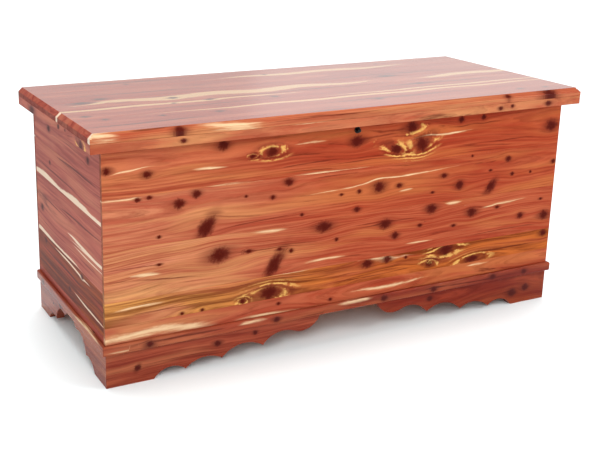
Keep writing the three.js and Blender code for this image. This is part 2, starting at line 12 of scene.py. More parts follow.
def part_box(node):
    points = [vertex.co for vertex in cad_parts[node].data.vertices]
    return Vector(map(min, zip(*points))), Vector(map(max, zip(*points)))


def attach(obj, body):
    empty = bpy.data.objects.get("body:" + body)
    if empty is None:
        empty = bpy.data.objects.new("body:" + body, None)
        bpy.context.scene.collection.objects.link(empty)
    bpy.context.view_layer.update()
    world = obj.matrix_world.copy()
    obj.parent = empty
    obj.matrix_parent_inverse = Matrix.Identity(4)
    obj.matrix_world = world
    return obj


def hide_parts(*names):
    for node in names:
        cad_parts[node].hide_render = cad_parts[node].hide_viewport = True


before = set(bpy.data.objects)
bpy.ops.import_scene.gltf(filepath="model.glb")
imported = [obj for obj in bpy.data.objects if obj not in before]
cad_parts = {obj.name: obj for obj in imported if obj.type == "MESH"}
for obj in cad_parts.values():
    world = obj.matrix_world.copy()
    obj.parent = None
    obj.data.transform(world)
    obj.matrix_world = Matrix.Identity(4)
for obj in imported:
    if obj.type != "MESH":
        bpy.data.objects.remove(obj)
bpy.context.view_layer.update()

# Lengths below are in millimetres, in the frame of the CAD model, unless a name says otherwise.
MM = 0.001
X, Y, Z = 0, 1, 2


def span(node):
    """Lowest and highest corner of a CAD node."""
    low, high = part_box(node)
    return np.array(low) / MM, np.array(high) / MM


def planes(node):
    """The outer planes of a CAD node's box in x, y and z."""
    return [list(pair) for pair in zip(*span(node))]


FRONT_LOW, FRONT_HIGH = span("front_panel")
BACK_LOW, BACK_HIGH = span("back_panel")
LEFT_LOW, LEFT_HIGH = span("left_side_panel")
BOTTOM_LOW, BOTTOM_HIGH = span("bottom_panel")
LID_LOW, LID_HIGH = span("lid_panel")
MOULDING_LOW, MOULDING_HIGH = span("base_moulding_front")
# Gap between pieces of wood that meet in the CAD model.
GAP = 0.3

# ---- Node graphs


def linear(red, green, blue):
    """A colour given as 0 to 255 display values, as the shader's linear RGBA."""
    def channel(value):
        value /= 255
        return value / 12.92 if value <= 0.04045 else ((value + 0.055) / 1.055) ** 2.4
    return (channel(red), channel(green), channel(blue), 1.0)


class Value:
    """A node's output, which is added, subtracted and multiplied like a number or a vector."""

    def __init__(self, graph, socket):
        self.graph = graph
        self.socket = socket

    def __add__(self, other):
        return self.graph.math("ADD", self, other)

    def __sub__(self, other):
        return self.graph.math("SUBTRACT", self, other)

    def __rsub__(self, other):
        return self.graph.math("SUBTRACT", other, self)

    def __mul__(self, other):
        return self.graph.math("MULTIPLY", self, other)


def is_vector(part):
    """Whether a part of a sum is three numbers or a vector output, and not a single number."""
    return isinstance(part, tuple) or isinstance(part, Value) and part.socket.type == "VECTOR"


class Graph:
    """Makes shader nodes and wires them."""

    def __init__(self, name):
        self.material = bpy.data.materials.new(name)
        self.material.use_nodes = True
        self.tree = self.material.node_tree
        self.tree.nodes.clear()

    def node(self, kind, inputs=(), **settings):
        """A new node. inputs are pairs of an input's name or number and what goes into it."""
        made = self.tree.nodes.new(kind)
        for name, value in settings.items():
            setattr(made, name, value)
        for name, value in inputs:
            if isinstance(value, Value):
                self.tree.links.new(value.socket, made.inputs[name])
            elif value is not None:
                made.inputs[name].default_value = value
        return made

    def value(self, output, kind, inputs=(), **settings):
        """A new node's output, by its name or number."""
        return Value(self, self.node(kind, inputs, **settings).outputs[output])

    def math(self, operation, a, b=None):
        """A Math node, or a Vector Math node where a or b is a vector."""
        vector = is_vector(a) or is_vector(b)
        output = "Vector" if vector and operation != "LENGTH" else "Value"
        kind = "ShaderNodeVectorMath" if vector else "ShaderNodeMath"
        return self.value(output, kind, enumerate((a, b)), operation=operation)

    def combine(self, *parts):
        return self.value(0, "ShaderNodeCombineXYZ", enumerate(parts))

    def split(self, vector):
        made = self.node("ShaderNodeSeparateXYZ", [(0, vector)])
        return [Value(self, socket) for socket in made.outputs]

    def step(self, value, low, high):
        """0 at low, 1 at high and smooth between; low may be the larger."""
        limits = (low, high, 0.0, 1.0) if low < high else (high, low, 1.0, 0.0)
        names = ("Value", "From Min", "From Max", "To Min", "To Max")
        return self.value("Result", "ShaderNodeMapRange", zip(names, (value, *limits)),
                          interpolation_type="SMOOTHSTEP", clamp=True)

    def noise(self, vector, detail=3.0, roughness=0.55, scale=1.0, distortion=0.0):
        names = ("Vector", "Scale", "Detail", "Roughness", "Distortion")
        parts = (vector, scale, detail, roughness, distortion)
        return self.value("Fac", "ShaderNodeTexNoise", zip(names, parts))

    def mix(self, factor, a, b, blend="MIX"):
        return self.value(2, "ShaderNodeMix", ((0, factor), (6, a), (7, b)), data_type="RGBA",
                          blend_type=blend)

    def attribute(self, name, output="Vector"):
        return self.value(output, "ShaderNodeAttribute", attribute_name=name)

    def position(self, scale=1.0):
        """Place on the piece in millimetres times scale."""
        return self.value("Object", "ShaderNodeTexCoord") * ((scale / MM,) * 3)

    def bump(self, height, strength, distance):
        names = ("Strength", "Distance", "Height")
        return self.value(0, "ShaderNodeBump", zip(names, (strength, distance, height)))

    def finish(self, **inputs):
        """The material, given the inputs of its Principled shader by name."""
        named = [(name.replace("_", " "), value) for name, value in inputs.items()]
        self.node("ShaderNodeOutputMaterial", [(0, self.value(0, "ShaderNodeBsdfPrincipled", named))])
        return self.material


# ---- Cedar

# Each board carries its own grain as attributes, so that one piece of wood reads the same on its
# face, its edge and its end:
#   grain           millimetres along the board, from the pith, and round the pith
#   knot_a, knot_b  place relative to the nearest knot, in knot radii, and how far that holds
#   streak          place relative to the nearest streak, in its half sizes, and how far that holds,
#                   above zero for a pale streak, which is sapwood, and below zero for a dark one
#   tone            share of olive, shade, and share of golden bark round the nearest knot
#   end             how squarely a face cuts across the grain

# The noises that make the figure: how fast each one changes along the board, away from the pith
# and round it, how far it is offset, and its settings.
FIGURE = dict(
    broad=((0.0022, 0.05, 0.012), 0.0, dict(detail=3, distortion=0.3)),
    warm=((0.0026, 0.03, 0.02), 31.0, dict(detail=3)),
    streaky=((0.0035, 0.2, 0.04), 57.0, dict(detail=5, roughness=0.62)),
    mineral=((0.004, 0.2, 0.04), 83.0, dict(detail=5, roughness=0.65)),
    fine=((0.01, 0.6, 0.15), 13.0, dict(detail=4, roughness=0.7)),
    broken=((0.022, 0.35, 0.1), 97.0, dict(detail=4, roughness=0.65)),
    fibre=((0.05, 2.6, 1.1), 7.0, dict(detail=2)),
)
RINGS_PER_MM = 0.24
BARK = (214, 164, 90)
# How fast red, green and blue fall as a board's shade does.
SHADE_TINT = (0.4, 1.12, 1.4)
END_GRAIN = (0.66, 0.68, 0.74, 1.0)


def draw_figure(g, grain):
    """The noises of FIGURE, by name, and the dark latewood of the year rings."""
    noises = {name: g.noise(grain * scales + (offset,) * 3, **settings)
              for name, (scales, offset, settings) in FIGURE.items()}
    phase = g.math("FRACT", g.split(grain)[1] * RINGS_PER_MM + noises["streaky"] * 1.6)
    latewood = g.step(phase, 0.35, 0.95) * g.step(phase, 1.0, 0.95) * g.step(noises["fine"], 0.3, 0.6)
    return SimpleNamespace(**noises), latewood


def draw_heartwood(g, wood, latewood, golden, light, deep, dark):
    """The plain wood: light to deep in streaks, golden in patches, dark in rings and mineral lines."""
    colour = g.mix(g.step(wood.streaky, 0.36, 0.65), light, deep)
    colour = g.mix(g.step(wood.warm, 0.46, 0.66) * 0.8, colour, golden)
    colour = g.mix(g.step(wood.broad, 0.5, 0.7) * 0.6, colour, deep)
    colour = g.mix(latewood * 0.3, colour, dark)
    return g.mix(g.step(wood.mineral, 0.58, 0.72) * 0.75, colour, dark)


def draw_tone(g, colour, wood, olive, shade, olive_pair):
    """Makes a colour as olive and as dark as its board is there, and flecks it finely. The darkness is the
    wood's own tone, and on the front, its moulding and its right foot it is partly painted shade as well.
    """
    olive_colour = g.mix(g.step(wood.streaky, 0.34, 0.62), *olive_pair)
    colour = g.mix(olive * g.step(wood.broad, 0.28, 0.5), colour, olive_colour)
    tint = g.combine(*(shade * part + 1.0 for part in SHADE_TINT))
    flecks = wood.fine * 0.5 + 0.75
    colour = g.mix(1.0, colour, tint, "MULTIPLY")
    return g.mix(1.0, colour, g.combine(flecks, flecks, flecks), "MULTIPLY")


def draw_streaks(g, colour, wood, golden, cream, dark, raggedness, feather):
    """Draws the pale and the dark streaks. Gives the colour and where sapwood shows."""
    side, across, hold = g.split(g.attribute("streak"))
    inside = 1.0 - g.math("POWER", g.math("ABSOLUTE", side), 2.5) - g.math("ABSOLUTE", across)
    uneven = (wood.broken - 0.5) * raggedness + (wood.fine - 0.5) * raggedness
    ragged = g.step(inside + uneven, 0.0, feather)
    sapwood = ragged * g.math("MAXIMUM", hold, 0.0) * 0.9
    colour = g.mix(sapwood, colour, g.mix(ragged, golden, cream))
    stain = ragged * g.math("MAXIMUM", hold * -1.0, 0.0)
    return g.mix(stain * 0.8, colour, dark), sapwood


def draw_knots(g, colour, wood, layer, grain, barked, dark, core):
    """Draws one layer's knots over a colour: a smear along the grain, rings of bark and a heart."""
    near_along, near_across, hold = g.split(g.attribute(layer))
    near = g.combine(near_along, near_across)
    swirl_at = near + grain * (0.01, 0.0, 0.02)
    swirl = g.noise(swirl_at, scale=1.3, detail=6, roughness=0.75)
    spiky = g.noise(g.math("NORMALIZE", near), scale=2.4, detail=3, roughness=0.6)
    radius = g.math("LENGTH", near) + (swirl + spiky * 0.4 - 0.7) * 2.4
    eye = g.math("LENGTH", near * (0.5, 1.0, 1.0))
    drawn_out = g.math("LENGTH", near * (0.62, 1.0, 1.0)) + (wood.streaky - 0.5) * 3.0
    colour = g.mix(g.step(drawn_out, 2.1, 0.4) * hold * 0.6, colour, dark)

    band = g.step(eye, 0.9, 1.3) * g.step(eye, 3.0, 1.5)
    line = g.math("SINE", g.split(grain)[1] * 0.9 + eye * 3.0 + swirl * 6.0)
    patch = g.step(g.noise(swirl_at, scale=0.6, detail=2), 0.34, 0.5)
    bark = band * patch * g.step(line, -0.1, 0.7) * (hold * barked)
    shadow = band * g.step(line, -0.2, -0.9) * (hold * barked)
    colour = g.mix(bark * 0.85, colour, linear(*BARK))
    colour = g.mix(shadow * 0.5, colour, dark)

    worn = g.noise(swirl_at, scale=2.6, detail=3) * 0.5 + 0.72
    heart = g.math("MINIMUM", g.step(radius, 1.75, 0.6) * hold * worn, 0.985)
    return g.mix(heart, colour, g.mix(g.step(radius, 1.3, 0.2), dark, core))


def cedar(name, golden, light, deep, dark, cream=(216, 184, 144), core=(70, 12, 5),
          olive_pair=((196, 130, 68), (120, 66, 32)), rough=0.3, coat=0.04, coat_ior=1.25,
          specular=0.02, raggedness=1.3, feather=1.1):
    """Varnished cedar. golden to dark are its figure's colours, cream its sapwood's and core its
    knots'. raggedness and feather are for the edges of its streaks."""
    g = Graph(name)
    given = (golden, light, deep, dark, cream, core, *olive_pair)
    golden, light, deep, dark, cream, core, *olive_pair = (linear(*colour) for colour in given)
    grain = g.attribute("grain")
    wood, latewood = draw_figure(g, grain)
    olive, shade, barked = g.split(g.attribute("tone"))
    colour = draw_heartwood(g, wood, latewood, golden, light, deep, dark)
    colour = draw_tone(g, colour, wood, olive, shade, olive_pair)
    colour, sapwood = draw_streaks(g, colour, wood, golden, cream, dark, raggedness, feather)
    for layer in ("knot_a", "knot_b"):
        colour = draw_knots(g, colour, wood, layer, grain, barked, dark, core)
    end = g.step(g.attribute("end", "Fac"), 0.6, 0.95) * (1.0 - sapwood * 0.8)
    colour = g.mix(end, colour, g.mix(1.0, colour, END_GRAIN, "MULTIPLY"))
    gloss = wood.fibre * 0.14 + (rough - 0.07) + end * 0.2
    relief = g.bump(wood.fibre * 0.6 - latewood * 0.4, 0.18, 0.3 * MM)
    return g.finish(Base_Color=colour, Roughness=gloss, Specular_IOR_Level=specular, Coat_Weight=coat,
                    Coat_Roughness=0.2, Coat_IOR=coat_ior, Normal=relief)


front_cedar = cedar("front_cedar", (190, 131, 87), (185, 113, 84), (159, 76, 55), (80, 21, 13))
side_cedar = cedar("side_cedar", (174, 100, 76), (168, 86, 69), (135, 57, 48), (80, 26, 23),
                   cream=(220, 197, 172), olive_pair=((150, 84, 34), (96, 44, 18)), rough=0.42,
                   coat=0.05, specular=0.03, raggedness=0.7, feather=0.4)
lid_cedar = cedar("lid_cedar", (186, 104, 76), (176, 88, 64), (154, 66, 48), (96, 44, 36),
                  cream=(212, 174, 128), core=(78, 44, 36), rough=0.26, coat=1.0, coat_ior=1.5,
                  specular=0.42, raggedness=0.7, feather=0.4)
edge_cedar = cedar("edge_cedar", (184, 122, 78), (178, 102, 69), (156, 72, 47), (84, 26, 16),
                   rough=0.24, coat=0.3)
base_cedar = cedar("base_cedar", (158, 88, 58), (148, 67, 45), (114, 40, 26), (70, 19, 12),
                   rough=0.26, coat=0.5)
inside_cedar = cedar("inside_cedar", (206, 140, 96), (198, 122, 84), (176, 92, 60), (124, 52, 34),
                     rough=0.55, coat=0.0)


def brushed_metal(name, colour, worn, rough, along=X):
    """Plated strip, with fine lines along it and duller patches."""
    g = Graph(name)
    stretch = tuple(0.3 if axis == along else 9.0 for axis in (X, Y, Z))
    lines = g.noise(g.position() * stretch, detail=2)
    tarnish = g.step(g.noise(g.position(0.07), detail=4), 0.4, 0.75)
    base = g.mix(tarnish * 0.5, linear(*colour), linear(*worn))
    gloss = lines * 0.16 + tarnish * 0.16 + (rough - 0.08)
    return g.finish(Base_Color=base, Metallic=1.0, Roughness=gloss,
                    Normal=g.bump(lines, 0.15, 0.05 * MM))


def black_enamel(name):
    """Gloss black over metal, rubbed thinner here and there."""
    g = Graph(name)
    speckle = g.noise(g.position(0.9), detail=4)
    base = g.mix(g.step(speckle, 0.58, 0.72) * 0.5, linear(10, 8, 7), linear(34, 28, 24))
    return g.finish(Base_Color=base, Metallic=0.2, Roughness=speckle * 0.25 + 0.25,
                    Specular_IOR_Level=0.2, Coat_Weight=0.1, Coat_Roughness=0.1)


hinge_brass = brushed_metal("hinge_brass", (204, 172, 118), (158, 124, 76), 0.38)
stay_brass = brushed_metal("stay_brass", (206, 174, 118), (156, 122, 74), 0.34, Y)
screw_brass = brushed_metal("screw_brass", (198, 166, 112), (132, 102, 64), 0.4, Z)
pin_steel = brushed_metal("pin_steel", (176, 174, 170), (122, 116, 108), 0.3)
lock_steel = brushed_metal("lock_steel", (186, 186, 184), (130, 128, 124), 0.36)
lock_black = black_enamel("lock_black")

# ---- Meshes


def divide(stops, step):
    """The planes in stops, with more between them so that none are further apart than step."""
    planes = [stops[0]]
    for low, high in zip(stops, stops[1:]):
        count = max(1, math.ceil((high - low) / step - 1e-6))
        planes += list(np.linspace(low, high, count + 1)[1:])
    return np.array(planes)


CELL_CORNERS = ((0, 0), (1, 0), (1, 1), (0, 1))


def cells(cuts, filled=None):
    """Vertices and quads round the cells between the planes in cuts, or those that filled picks."""
    size = [len(c) for c in cuts]
    full = np.ones([n - 1 for n in size], bool)
    if filled:
        full = filled(*np.meshgrid(*[(c[1:] + c[:-1]) / 2 for c in cuts], indexing="ij"))
    index = np.arange(np.prod(size)).reshape(size)
    padded = np.pad(full, 1)
    quads = []
    for axis in range(3):
        pair = ((axis + 1) % 3, (axis + 2) % 3)
        for side, (u, v) in enumerate((pair[::-1], pair)):
            beyond = [slice(1, -1)] * 3
            beyond[axis] = slice(2, None) if side else slice(0, -2)
            shown = np.argwhere(full & ~padded[tuple(beyond)])
            shown[:, axis] += side
            corners = []
            for du, dv in CELL_CORNERS:
                at = shown.copy()
                at[:, u] += du
                at[:, v] += dv
                corners.append(index[tuple(at.T)])
            quads.append(np.stack(corners, 1))
    used, quads = np.unique(np.concatenate(quads), return_inverse=True)
    points = np.stack(np.meshgrid(*cuts, indexing="ij"), -1).reshape(-1, 3)[used]
    return points, quads.reshape(-1, 4)


def loop_faces(loops, count):
    """Faces of a row of loops of count vertices each: its first end, its last end and its walls."""
    faces = [tuple(range(count)), tuple(range((loops - 1) * count, loops * count))]
    for start in range(0, (loops - 1) * count, count):
        for i in range(count):
            j = (i + 1) % count
            faces.append((start + i, start + j, start + count + j, start + count + i))
    return faces


def sweep(outline, axis, stations):
    """Vertices and faces of an outline, given in the two directions after axis, swept along it."""
    points = np.zeros((len(stations), len(outline), 3))
    points[..., axis] = np.array(stations)[:, None]
    points[..., (axis + 1) % 3], points[..., (axis + 2) % 3] = np.array(outline).T
    return points.reshape(-1, 3), loop_faces(len(stations), len(outline))


def turned(profile, axis, centre, sides):
    """Vertices and faces of a profile of (place along the axis, radius) turned round it."""
    angles = np.arange(sides) * 2 * math.pi / sides
    points = np.zeros((len(profile), sides, 3))
    for row, (place, radius) in zip(points, profile):
        row[:, axis] = place
        row[:, (axis + 1) % 3] = centre[0] + radius * np.cos(angles)
        row[:, (axis + 2) % 3] = centre[1] + radius * np.sin(angles)
    return points.reshape(-1, 3), loop_faces(len(profile), sides)


def turned_tube(profile, axis, centre, sides):
    """As turned, but bored through from the profile's first point to its last."""
    points, faces = turned(profile, axis, centre, sides)
    last = (len(profile) - 1) * sides
    following = [(i + 1) % sides for i in range(sides)]
    return points, faces[2:] + [(j, i, last + i, last + j) for i, j in enumerate(following)]


def block(*cuts):
    """Vertices and faces of a plain block between planes."""
    return cells([np.array(c, float) for c in cuts])


def build(name, points, faces, rounding=0.0, angle=0.5):
    """A mesh from millimetre points, with its normals outwards and its edges rounded over where they
    turn more than angle, in radians."""
    mesh = bpy.data.meshes.new(name)
    mesh.from_pydata(np.asarray(points) * MM, [], [list(f) for f in faces])
    bm = bmesh.new()
    bm.from_mesh(mesh)
    bmesh.ops.remove_doubles(bm, verts=bm.verts, dist=0.002 * MM)
    bmesh.ops.recalc_face_normals(bm, faces=bm.faces)
    if rounding:
        sharp = [e for e in bm.edges if len(e.link_faces) == 2 and e.calc_face_angle(0) > angle]
        bmesh.ops.bevel(bm, geom=sharp, offset=rounding * MM, segments=2, profile=0.5,
                        affect="EDGES", clamp_overlap=True)
    bm.to_mesh(mesh)
    bm.free()
    return mesh


def joined(*parts):
    """Several vertices and faces lists as one."""
    points, faces, start = [], [], 0
    for part_points, part_faces in parts:
        points.append(np.asarray(part_points))
        faces += [[start + i for i in face] for face in part_faces]
        start += len(part_points)
    return np.concatenate(points), faces


def cut_away(mesh, tool):
    """The mesh less the tool's solid."""
    target = bpy.data.objects.new("cut_target", mesh)
    cutter = bpy.data.objects.new("cut_tool", tool)
    for part in (target, cutter):
        bpy.context.scene.collection.objects.link(part)
    modifier = target.modifiers.new("cut", "BOOLEAN")
    modifier.operation = "DIFFERENCE"
    modifier.solver = "EXACT"
    modifier.object = cutter
    bpy.context.view_layer.update()
    evaluated = target.evaluated_get(bpy.context.evaluated_depsgraph_get())
    result = bpy.data.meshes.new_from_object(evaluated)
    for part in (target, cutter):
        bpy.data.objects.remove(part)
    return result


def shade_smooth(mesh):
    """Shades a mesh as smooth, but for edges that turn more than 35 degrees."""
    mesh.shade_smooth()
    mesh.set_sharp_from_angle(angle=math.radians(35))


def ease_edges(piece, width, angle):
    """Rounds a piece's edges over with a modifier where they turn more than angle degrees."""
    bevel = piece.modifiers.new("eased_edges", "BEVEL")
    bevel.width = width * MM
    bevel.segments = 2
    bevel.limit_method = "ANGLE"
    bevel.angle_limit = math.radians(angle)


def add_piece(name, mesh, material, slot, replaces=(), body="chest_body", smooth=False):
    """A visible piece that rides on a body. replaces is the CAD nodes that it stands in for."""
    piece = bpy.data.objects.new(name, mesh)
    bpy.context.scene.collection.objects.link(piece)
    mesh.materials.clear()
    mesh.materials.append(material)
    if smooth:
        shade_smooth(mesh)
    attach(piece, body)
    if replaces:
        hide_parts(*replaces)
    return piece


# ---- Grain of a board

# How many radii a knot marks the wood for, and how much of a distance along the grain counts.
KNOT_REACH = 3.3
SMEAR = 0.6
# How far along and across a knot bends the grain, in its radii, and how strongly.
BEND_ALONG = 3.2
BEND_ACROSS = 2.2
BEND = 0.75
STREAK_REACH = 1.6
FAR = 9.0
TONE_RUN = 0.55


def store(mesh, name, values, domain="POINT"):
    kind, field = ("FLOAT", "value") if values.ndim == 1 else ("FLOAT_VECTOR", "vector")
    layer = mesh.attributes.new(name, kind, domain)
    layer.data.foreach_set(field, values.astype(np.float32).ravel())


def nearest(places, distances, reach, count):
    """Of several local places, the nearest one's at each vertex, and how far it holds there: fully
    close by, and not at all past its reach or where the next one is as near."""
    if not places:
        return np.tile((FAR, FAR, 0.0), (count, 1))
    distances = np.array(distances + [np.full(count, np.inf)])
    order = np.argsort(distances, axis=0)
    first, second = np.take_along_axis(distances, order[:2], 0)
    hold = np.clip((reach - first) / (0.35 * reach), 0, 1) * np.clip((second - first) * 2 - 0.3, 0, 1)
    return np.column_stack([np.array(places)[order[0], np.arange(count)], hold])


def in_layers(knots):
    """Deals the knots out into two layers, so that those that lie close together are apart."""
    layers = ([], [])
    for knot in knots:
        x, y, radius = knot[:3]
        crowd = [sum(math.hypot((x - k[0]) * SMEAR, y - k[1]) < KNOT_REACH * (radius + k[2]) + 9
                     for k in layer) for layer in layers]
        layers[crowd[1] < crowd[0]].append(knot)
    return layers


def paint_grain(mesh, axes, low, high, seed, knots=(), streaks=(), tone=(0, 0, 0, 0)):
    """Works out a board's grain. axes are the directions along, across and into the board. Knots and
    streaks are measured from the board's low corner. A knot is (along, across, radius, stretch), and
    may have its tilt in degrees and its share of bark as well. A streak is (start, end, middle, half
    width), and may have how far it rises towards its end as well; a negative width makes it dark.
    tone is the share of olive at both ends of the board, and its shade at both ends."""
    points = np.zeros(len(mesh.vertices) * 3)
    mesh.vertices.foreach_get("co", points)
    points = points.reshape(-1, 3) / MM - low
    along, across, into = (points[:, axis] for axis in axes)
    size = [high[axis] - low[axis] for axis in axes]
    count = len(along)
    rng = np.random.default_rng(seed)

    moved, bark = across.copy(), np.zeros(count)
    for name, layer in zip(("knot_a", "knot_b"), in_layers(knots)):
        places, distances = [], []
        for x, y, radius, stretch, *rest in layer:
            tilt, barked = rest or (0, 0)
            dx, dy = along - x, across - y
            bend = (dx / (BEND_ALONG * radius * max(stretch, 1))) ** 2 + (dy / (BEND_ACROSS * radius)) ** 2
            moved -= dy * BEND * np.exp(-bend)
            turn = math.radians(tilt)
            near = np.column_stack([
                (dx * math.cos(turn) + dy * math.sin(turn)) / (radius * stretch),
                (dy * math.cos(turn) - dx * math.sin(turn)) / radius,
            ])
            distances.append(np.hypot(near[:, 0] * SMEAR, near[:, 1]))
            places.append(near)
            bark = np.maximum(bark, barked * (distances[-1] < KNOT_REACH))
        store(mesh, name, nearest(places, distances, KNOT_REACH, count))

    # The board's place in its log: u is across from the pith and v is above it, and both sway.
    waves = [(rng.uniform(0.5, 1.0), rng.uniform(250, 900), rng.uniform(0, 6.3)) for _ in range(4)]
    sway = sum(part * 1.8 * np.sin(along * 2 * math.pi / length + start) for part, length, start in waves)
    dive = sum(part * 2.6 * np.cos(along * 5 / length + start) for part, length, start in waves)
    ripple = 0.4 * np.sin(along / 41 + moved / 31 + seed) + 0.4 * np.sin(along / 73 - moved / 17 + seed)
    u = moved - size[1] * rng.uniform(-0.2, 1.2) - sway
    v = size[2] + rng.uniform(14, 50) - into + dive
    from_pith = np.hypot(u, v)
    around = np.arctan2(u, np.maximum(v, 1.0)) * from_pith
    store(mesh, "grain", np.column_stack([along + seed * 613, from_pith + ripple + seed * 37, around]))

    places, distances = [], []
    for start, end, middle, half, *rest in streaks:
        rise = sum(rest)
        side = (along - (start + end) / 2) / ((end - start) / 2)
        off = moved - middle - rise * side - 0.3 * abs(half) * np.sin(along / 37 + seed)
        places.append(np.column_stack([side, off / half]))
        distances.append(np.maximum(np.abs(side), np.abs(off) / (abs(half) + 6)))
    found = nearest(places, distances, STREAK_REACH, count)
    if streaks:
        found[:, 2] *= np.sign([s[3] for s in streaks])[np.argmin(distances, axis=0)]
    store(mesh, "streak", found)
    # The tone changes from one end's to the other's over the first part of the board. On the front's
    # boards, the front moulding and the right front foot, its shade running darker towards the right is
    # partly painted shade.
    share = np.clip(along / (TONE_RUN * size[0]), 0, 1)
    share = share * share * (3 - 2 * share)
    olive = tone[0] + (tone[1] - tone[0]) * share
    shade = tone[2] + (tone[3] - tone[2]) * share
    store(mesh, "tone", np.column_stack([olive, shade, bark]))
    normals = np.zeros(len(mesh.polygons) * 3)
    mesh.polygons.foreach_get("normal", normals)
    store(mesh, "end", np.abs(normals.reshape(-1, 3)[:, axes[0]]), "FACE")


def strewn(seed, length, width, count):
    """Knots strewn over a board, mostly small."""
    rng = np.random.default_rng(seed)
    found = []
    for _ in range(count):
        radius = 2.2 + 6.5 * rng.random() ** 2.2
        found.append((rng.uniform(20, length - 20), rng.uniform(4, width - 4), radius,
                      rng.uniform(0.9, 1.6), rng.uniform(-25, 25), float(rng.random() < 0.2)))
    return found


# ---- Panels, each glued up from boards

# How far apart the vertices that carry the grain may be, on any board and on the front.
STEP = 6.0
FACE_STEP = 4.0
# How far the edges are eased: on boards, and on cleats and glue blocks.
ARRIS = 0.35
SOFT_ARRIS = 0.8
ALONG_X = (X, Z, Y)
ALONG_Y = (Y, Z, X)
FLAT = (X, Y, Z)


def add_board(name, cuts, axes, material, slot, replaces, seed, body="chest_body", filled=None,
              shape=None, hole=None, bare=None, rounding=ARRIS, step=STEP, **grain):
    """One board between the outer planes of cuts. bare is the direction, as an axis and a sign, of
    a face that is left unvarnished."""
    points, quads = cells([divide(c, step) for c in cuts], filled)
    if shape:
        points = shape(points)
    mesh = build(name, points, quads, rounding)
    if hole and cuts[Z][0] < LOCK_Z < cuts[Z][-1]:
        mesh = cut_away(mesh, hole)
    low, high = (np.array([c[i] for c in cuts]) for i in (0, -1))
    paint_grain(mesh, axes, low, high, seed, **grain)
    piece = add_piece(name, mesh, material, slot, replaces, body)
    if bare:
        axis, sign = bare
        mesh.materials.append(inside_cedar)
        for face in mesh.polygons:
            face.material_index = int(face.normal[axis] * sign > 0.7)
    return piece


def between(marks, place, low, high):
    """Marks whose place in the list given lies on one board, measured from its lower edge."""
    return [m[:place] + (m[place] - low,) + m[place + 1:] for m in marks if low <= m[place] < high]


def add_panel(node, axes, cuts, seams, tones, knots, streaks, seed, **rest):
    """A CAD panel as boards. seams are where its joints are and cuts its planes in x, y and z."""
    low, high = span(node)
    across = axes[1]
    edges = [low[across], *(low[across] + s for s in seams), high[across]]
    pieces = []
    for number, (bottom, top) in enumerate(zip(edges, edges[1:])):
        board_cuts = list(cuts)
        board_cuts[across] = [bottom, *[c for c in cuts[across][1:-1] if bottom < c < top], top]
        start, end = bottom - low[across], top - low[across]
        board_knots = between(knots, 1, start, end)
        if not board_knots:
            board_knots = strewn(seed + number, high[axes[0]] - low[axes[0]], top - bottom, 9)
        pieces.append(add_board(
            f"{node}_board_{number + 1}", board_cuts, axes, seed=seed + number, replaces=[node],
            knots=board_knots, streaks=between(streaks, 2, start, end), tone=tones[number], **rest))
    return pieces


# Each panel's seams, tones, knots and streaks, as paint_grain takes them. Those that lie across the
# boards are measured from the panel's own low edge, and tones start at the lowest board.
FRONT_SEAMS = (57.5, 110.5, 220.5, 326.5)
# The front's boards are lighter at the left and darker and redder towards the right, and the top board is
# darker under the lid. This is partly the wood's own tone and partly painted shade, where less light falls
# towards the right and under the lid's overhang.
FRONT_TONES_AND_PAINTED_SHADE = ((0, 0, -0.05, -0.42), (1, 1, 0.1, -0.46), (0.3, 0, 0.1, -0.42), (0.1, 0, 0.0, -0.46),
               (0.2, 0, -0.25, -0.5))
FRONT_KNOTS = [
    (260, 412, 9, 1.1, 10, 0), (94, 369, 6, 1.2), (372, 386, 9, 1.2, 0, 1), (326, 381, 4, 1.3),
    (580, 388, 10, 1.2), (724, 406, 10, 1.2), (684, 360, 9, 1.3, -20, 1), (754, 364, 14, 0.9, 20, 1),
    (860, 412, 6, 1.0), (924, 412, 5, 1.0), (1132, 374, 11, 1.2), (10, 384, 6, 1), (162, 300, 8, 1.2),
    (200, 316, 7, 1.1), (414, 316, 7, 1.1), (376, 287, 4, 1), (644, 278, 10, 1.1), (592, 274, 4, 1),
    (222, 241, 12, 1.6, 54, 0), (588, 233, 5, 1.2), (868, 256, 9, 1), (822, 284, 4.5, 1.5),
    (962, 242, 9, 1.5, 50, 0), (1008, 304, 6, 1.1), (1024, 265, 4, 1), (448, 239, 3, 1), (118, 236, 3, 1),
    (1080, 264, 3, 1), (504, 204, 10, 1.5), (792, 208, 9, 1.2), (666, 188, 9, 1.3), (910, 184, 9, 1.2),
    (252, 177, 13, 1.4, 10, 0), (424, 161, 4, 1), (694, 157, 7, 1), (1060, 156, 6, 1.1),
    (1136, 148, 9, 1.2), (382, 134, 11, 2.3, 56, 0), (538, 170, 3.5, 1), (762, 172, 3.5, 1.4),
    (372, 73, 12, 1.4, 0, 1), (308, 64, 5, 1), (796, 74, 7, 1.1), (920, 66, 7, 2.3, 5, 1),
    (622, 100, 8, 1.4), (676, 102, 7, 1.3), (841, 100, 11, 1.4, 10, 1), (1140, 101, 7, 1.2),
    (321, 175, 3.5, 1.6), (395, 169, 3, 1.5), (313, 297, 2.5, 1), (698, 275, 4.5, 1.3),
    (546, 272, 2.5, 1.4), (73, 319, 4, 1.2), (98, 321, 3.5, 1.2), (118, 177, 2.5, 1.6),
    (792, 247, 2.5, 1.5), (957, 281, 2.5, 1.5), (1150, 283, 4.5, 1), (1121, 191, 2.5, 1.5),
    (986, 187, 3, 1.5), (859, 158, 3, 1.5), (900, 322, 2.5, 1), (728, 99, 3, 1), (168, 61, 3, 1),
    (214, 61, 3, 1), (528, 30, 3, 1), (396, 43, 3, 1),
]
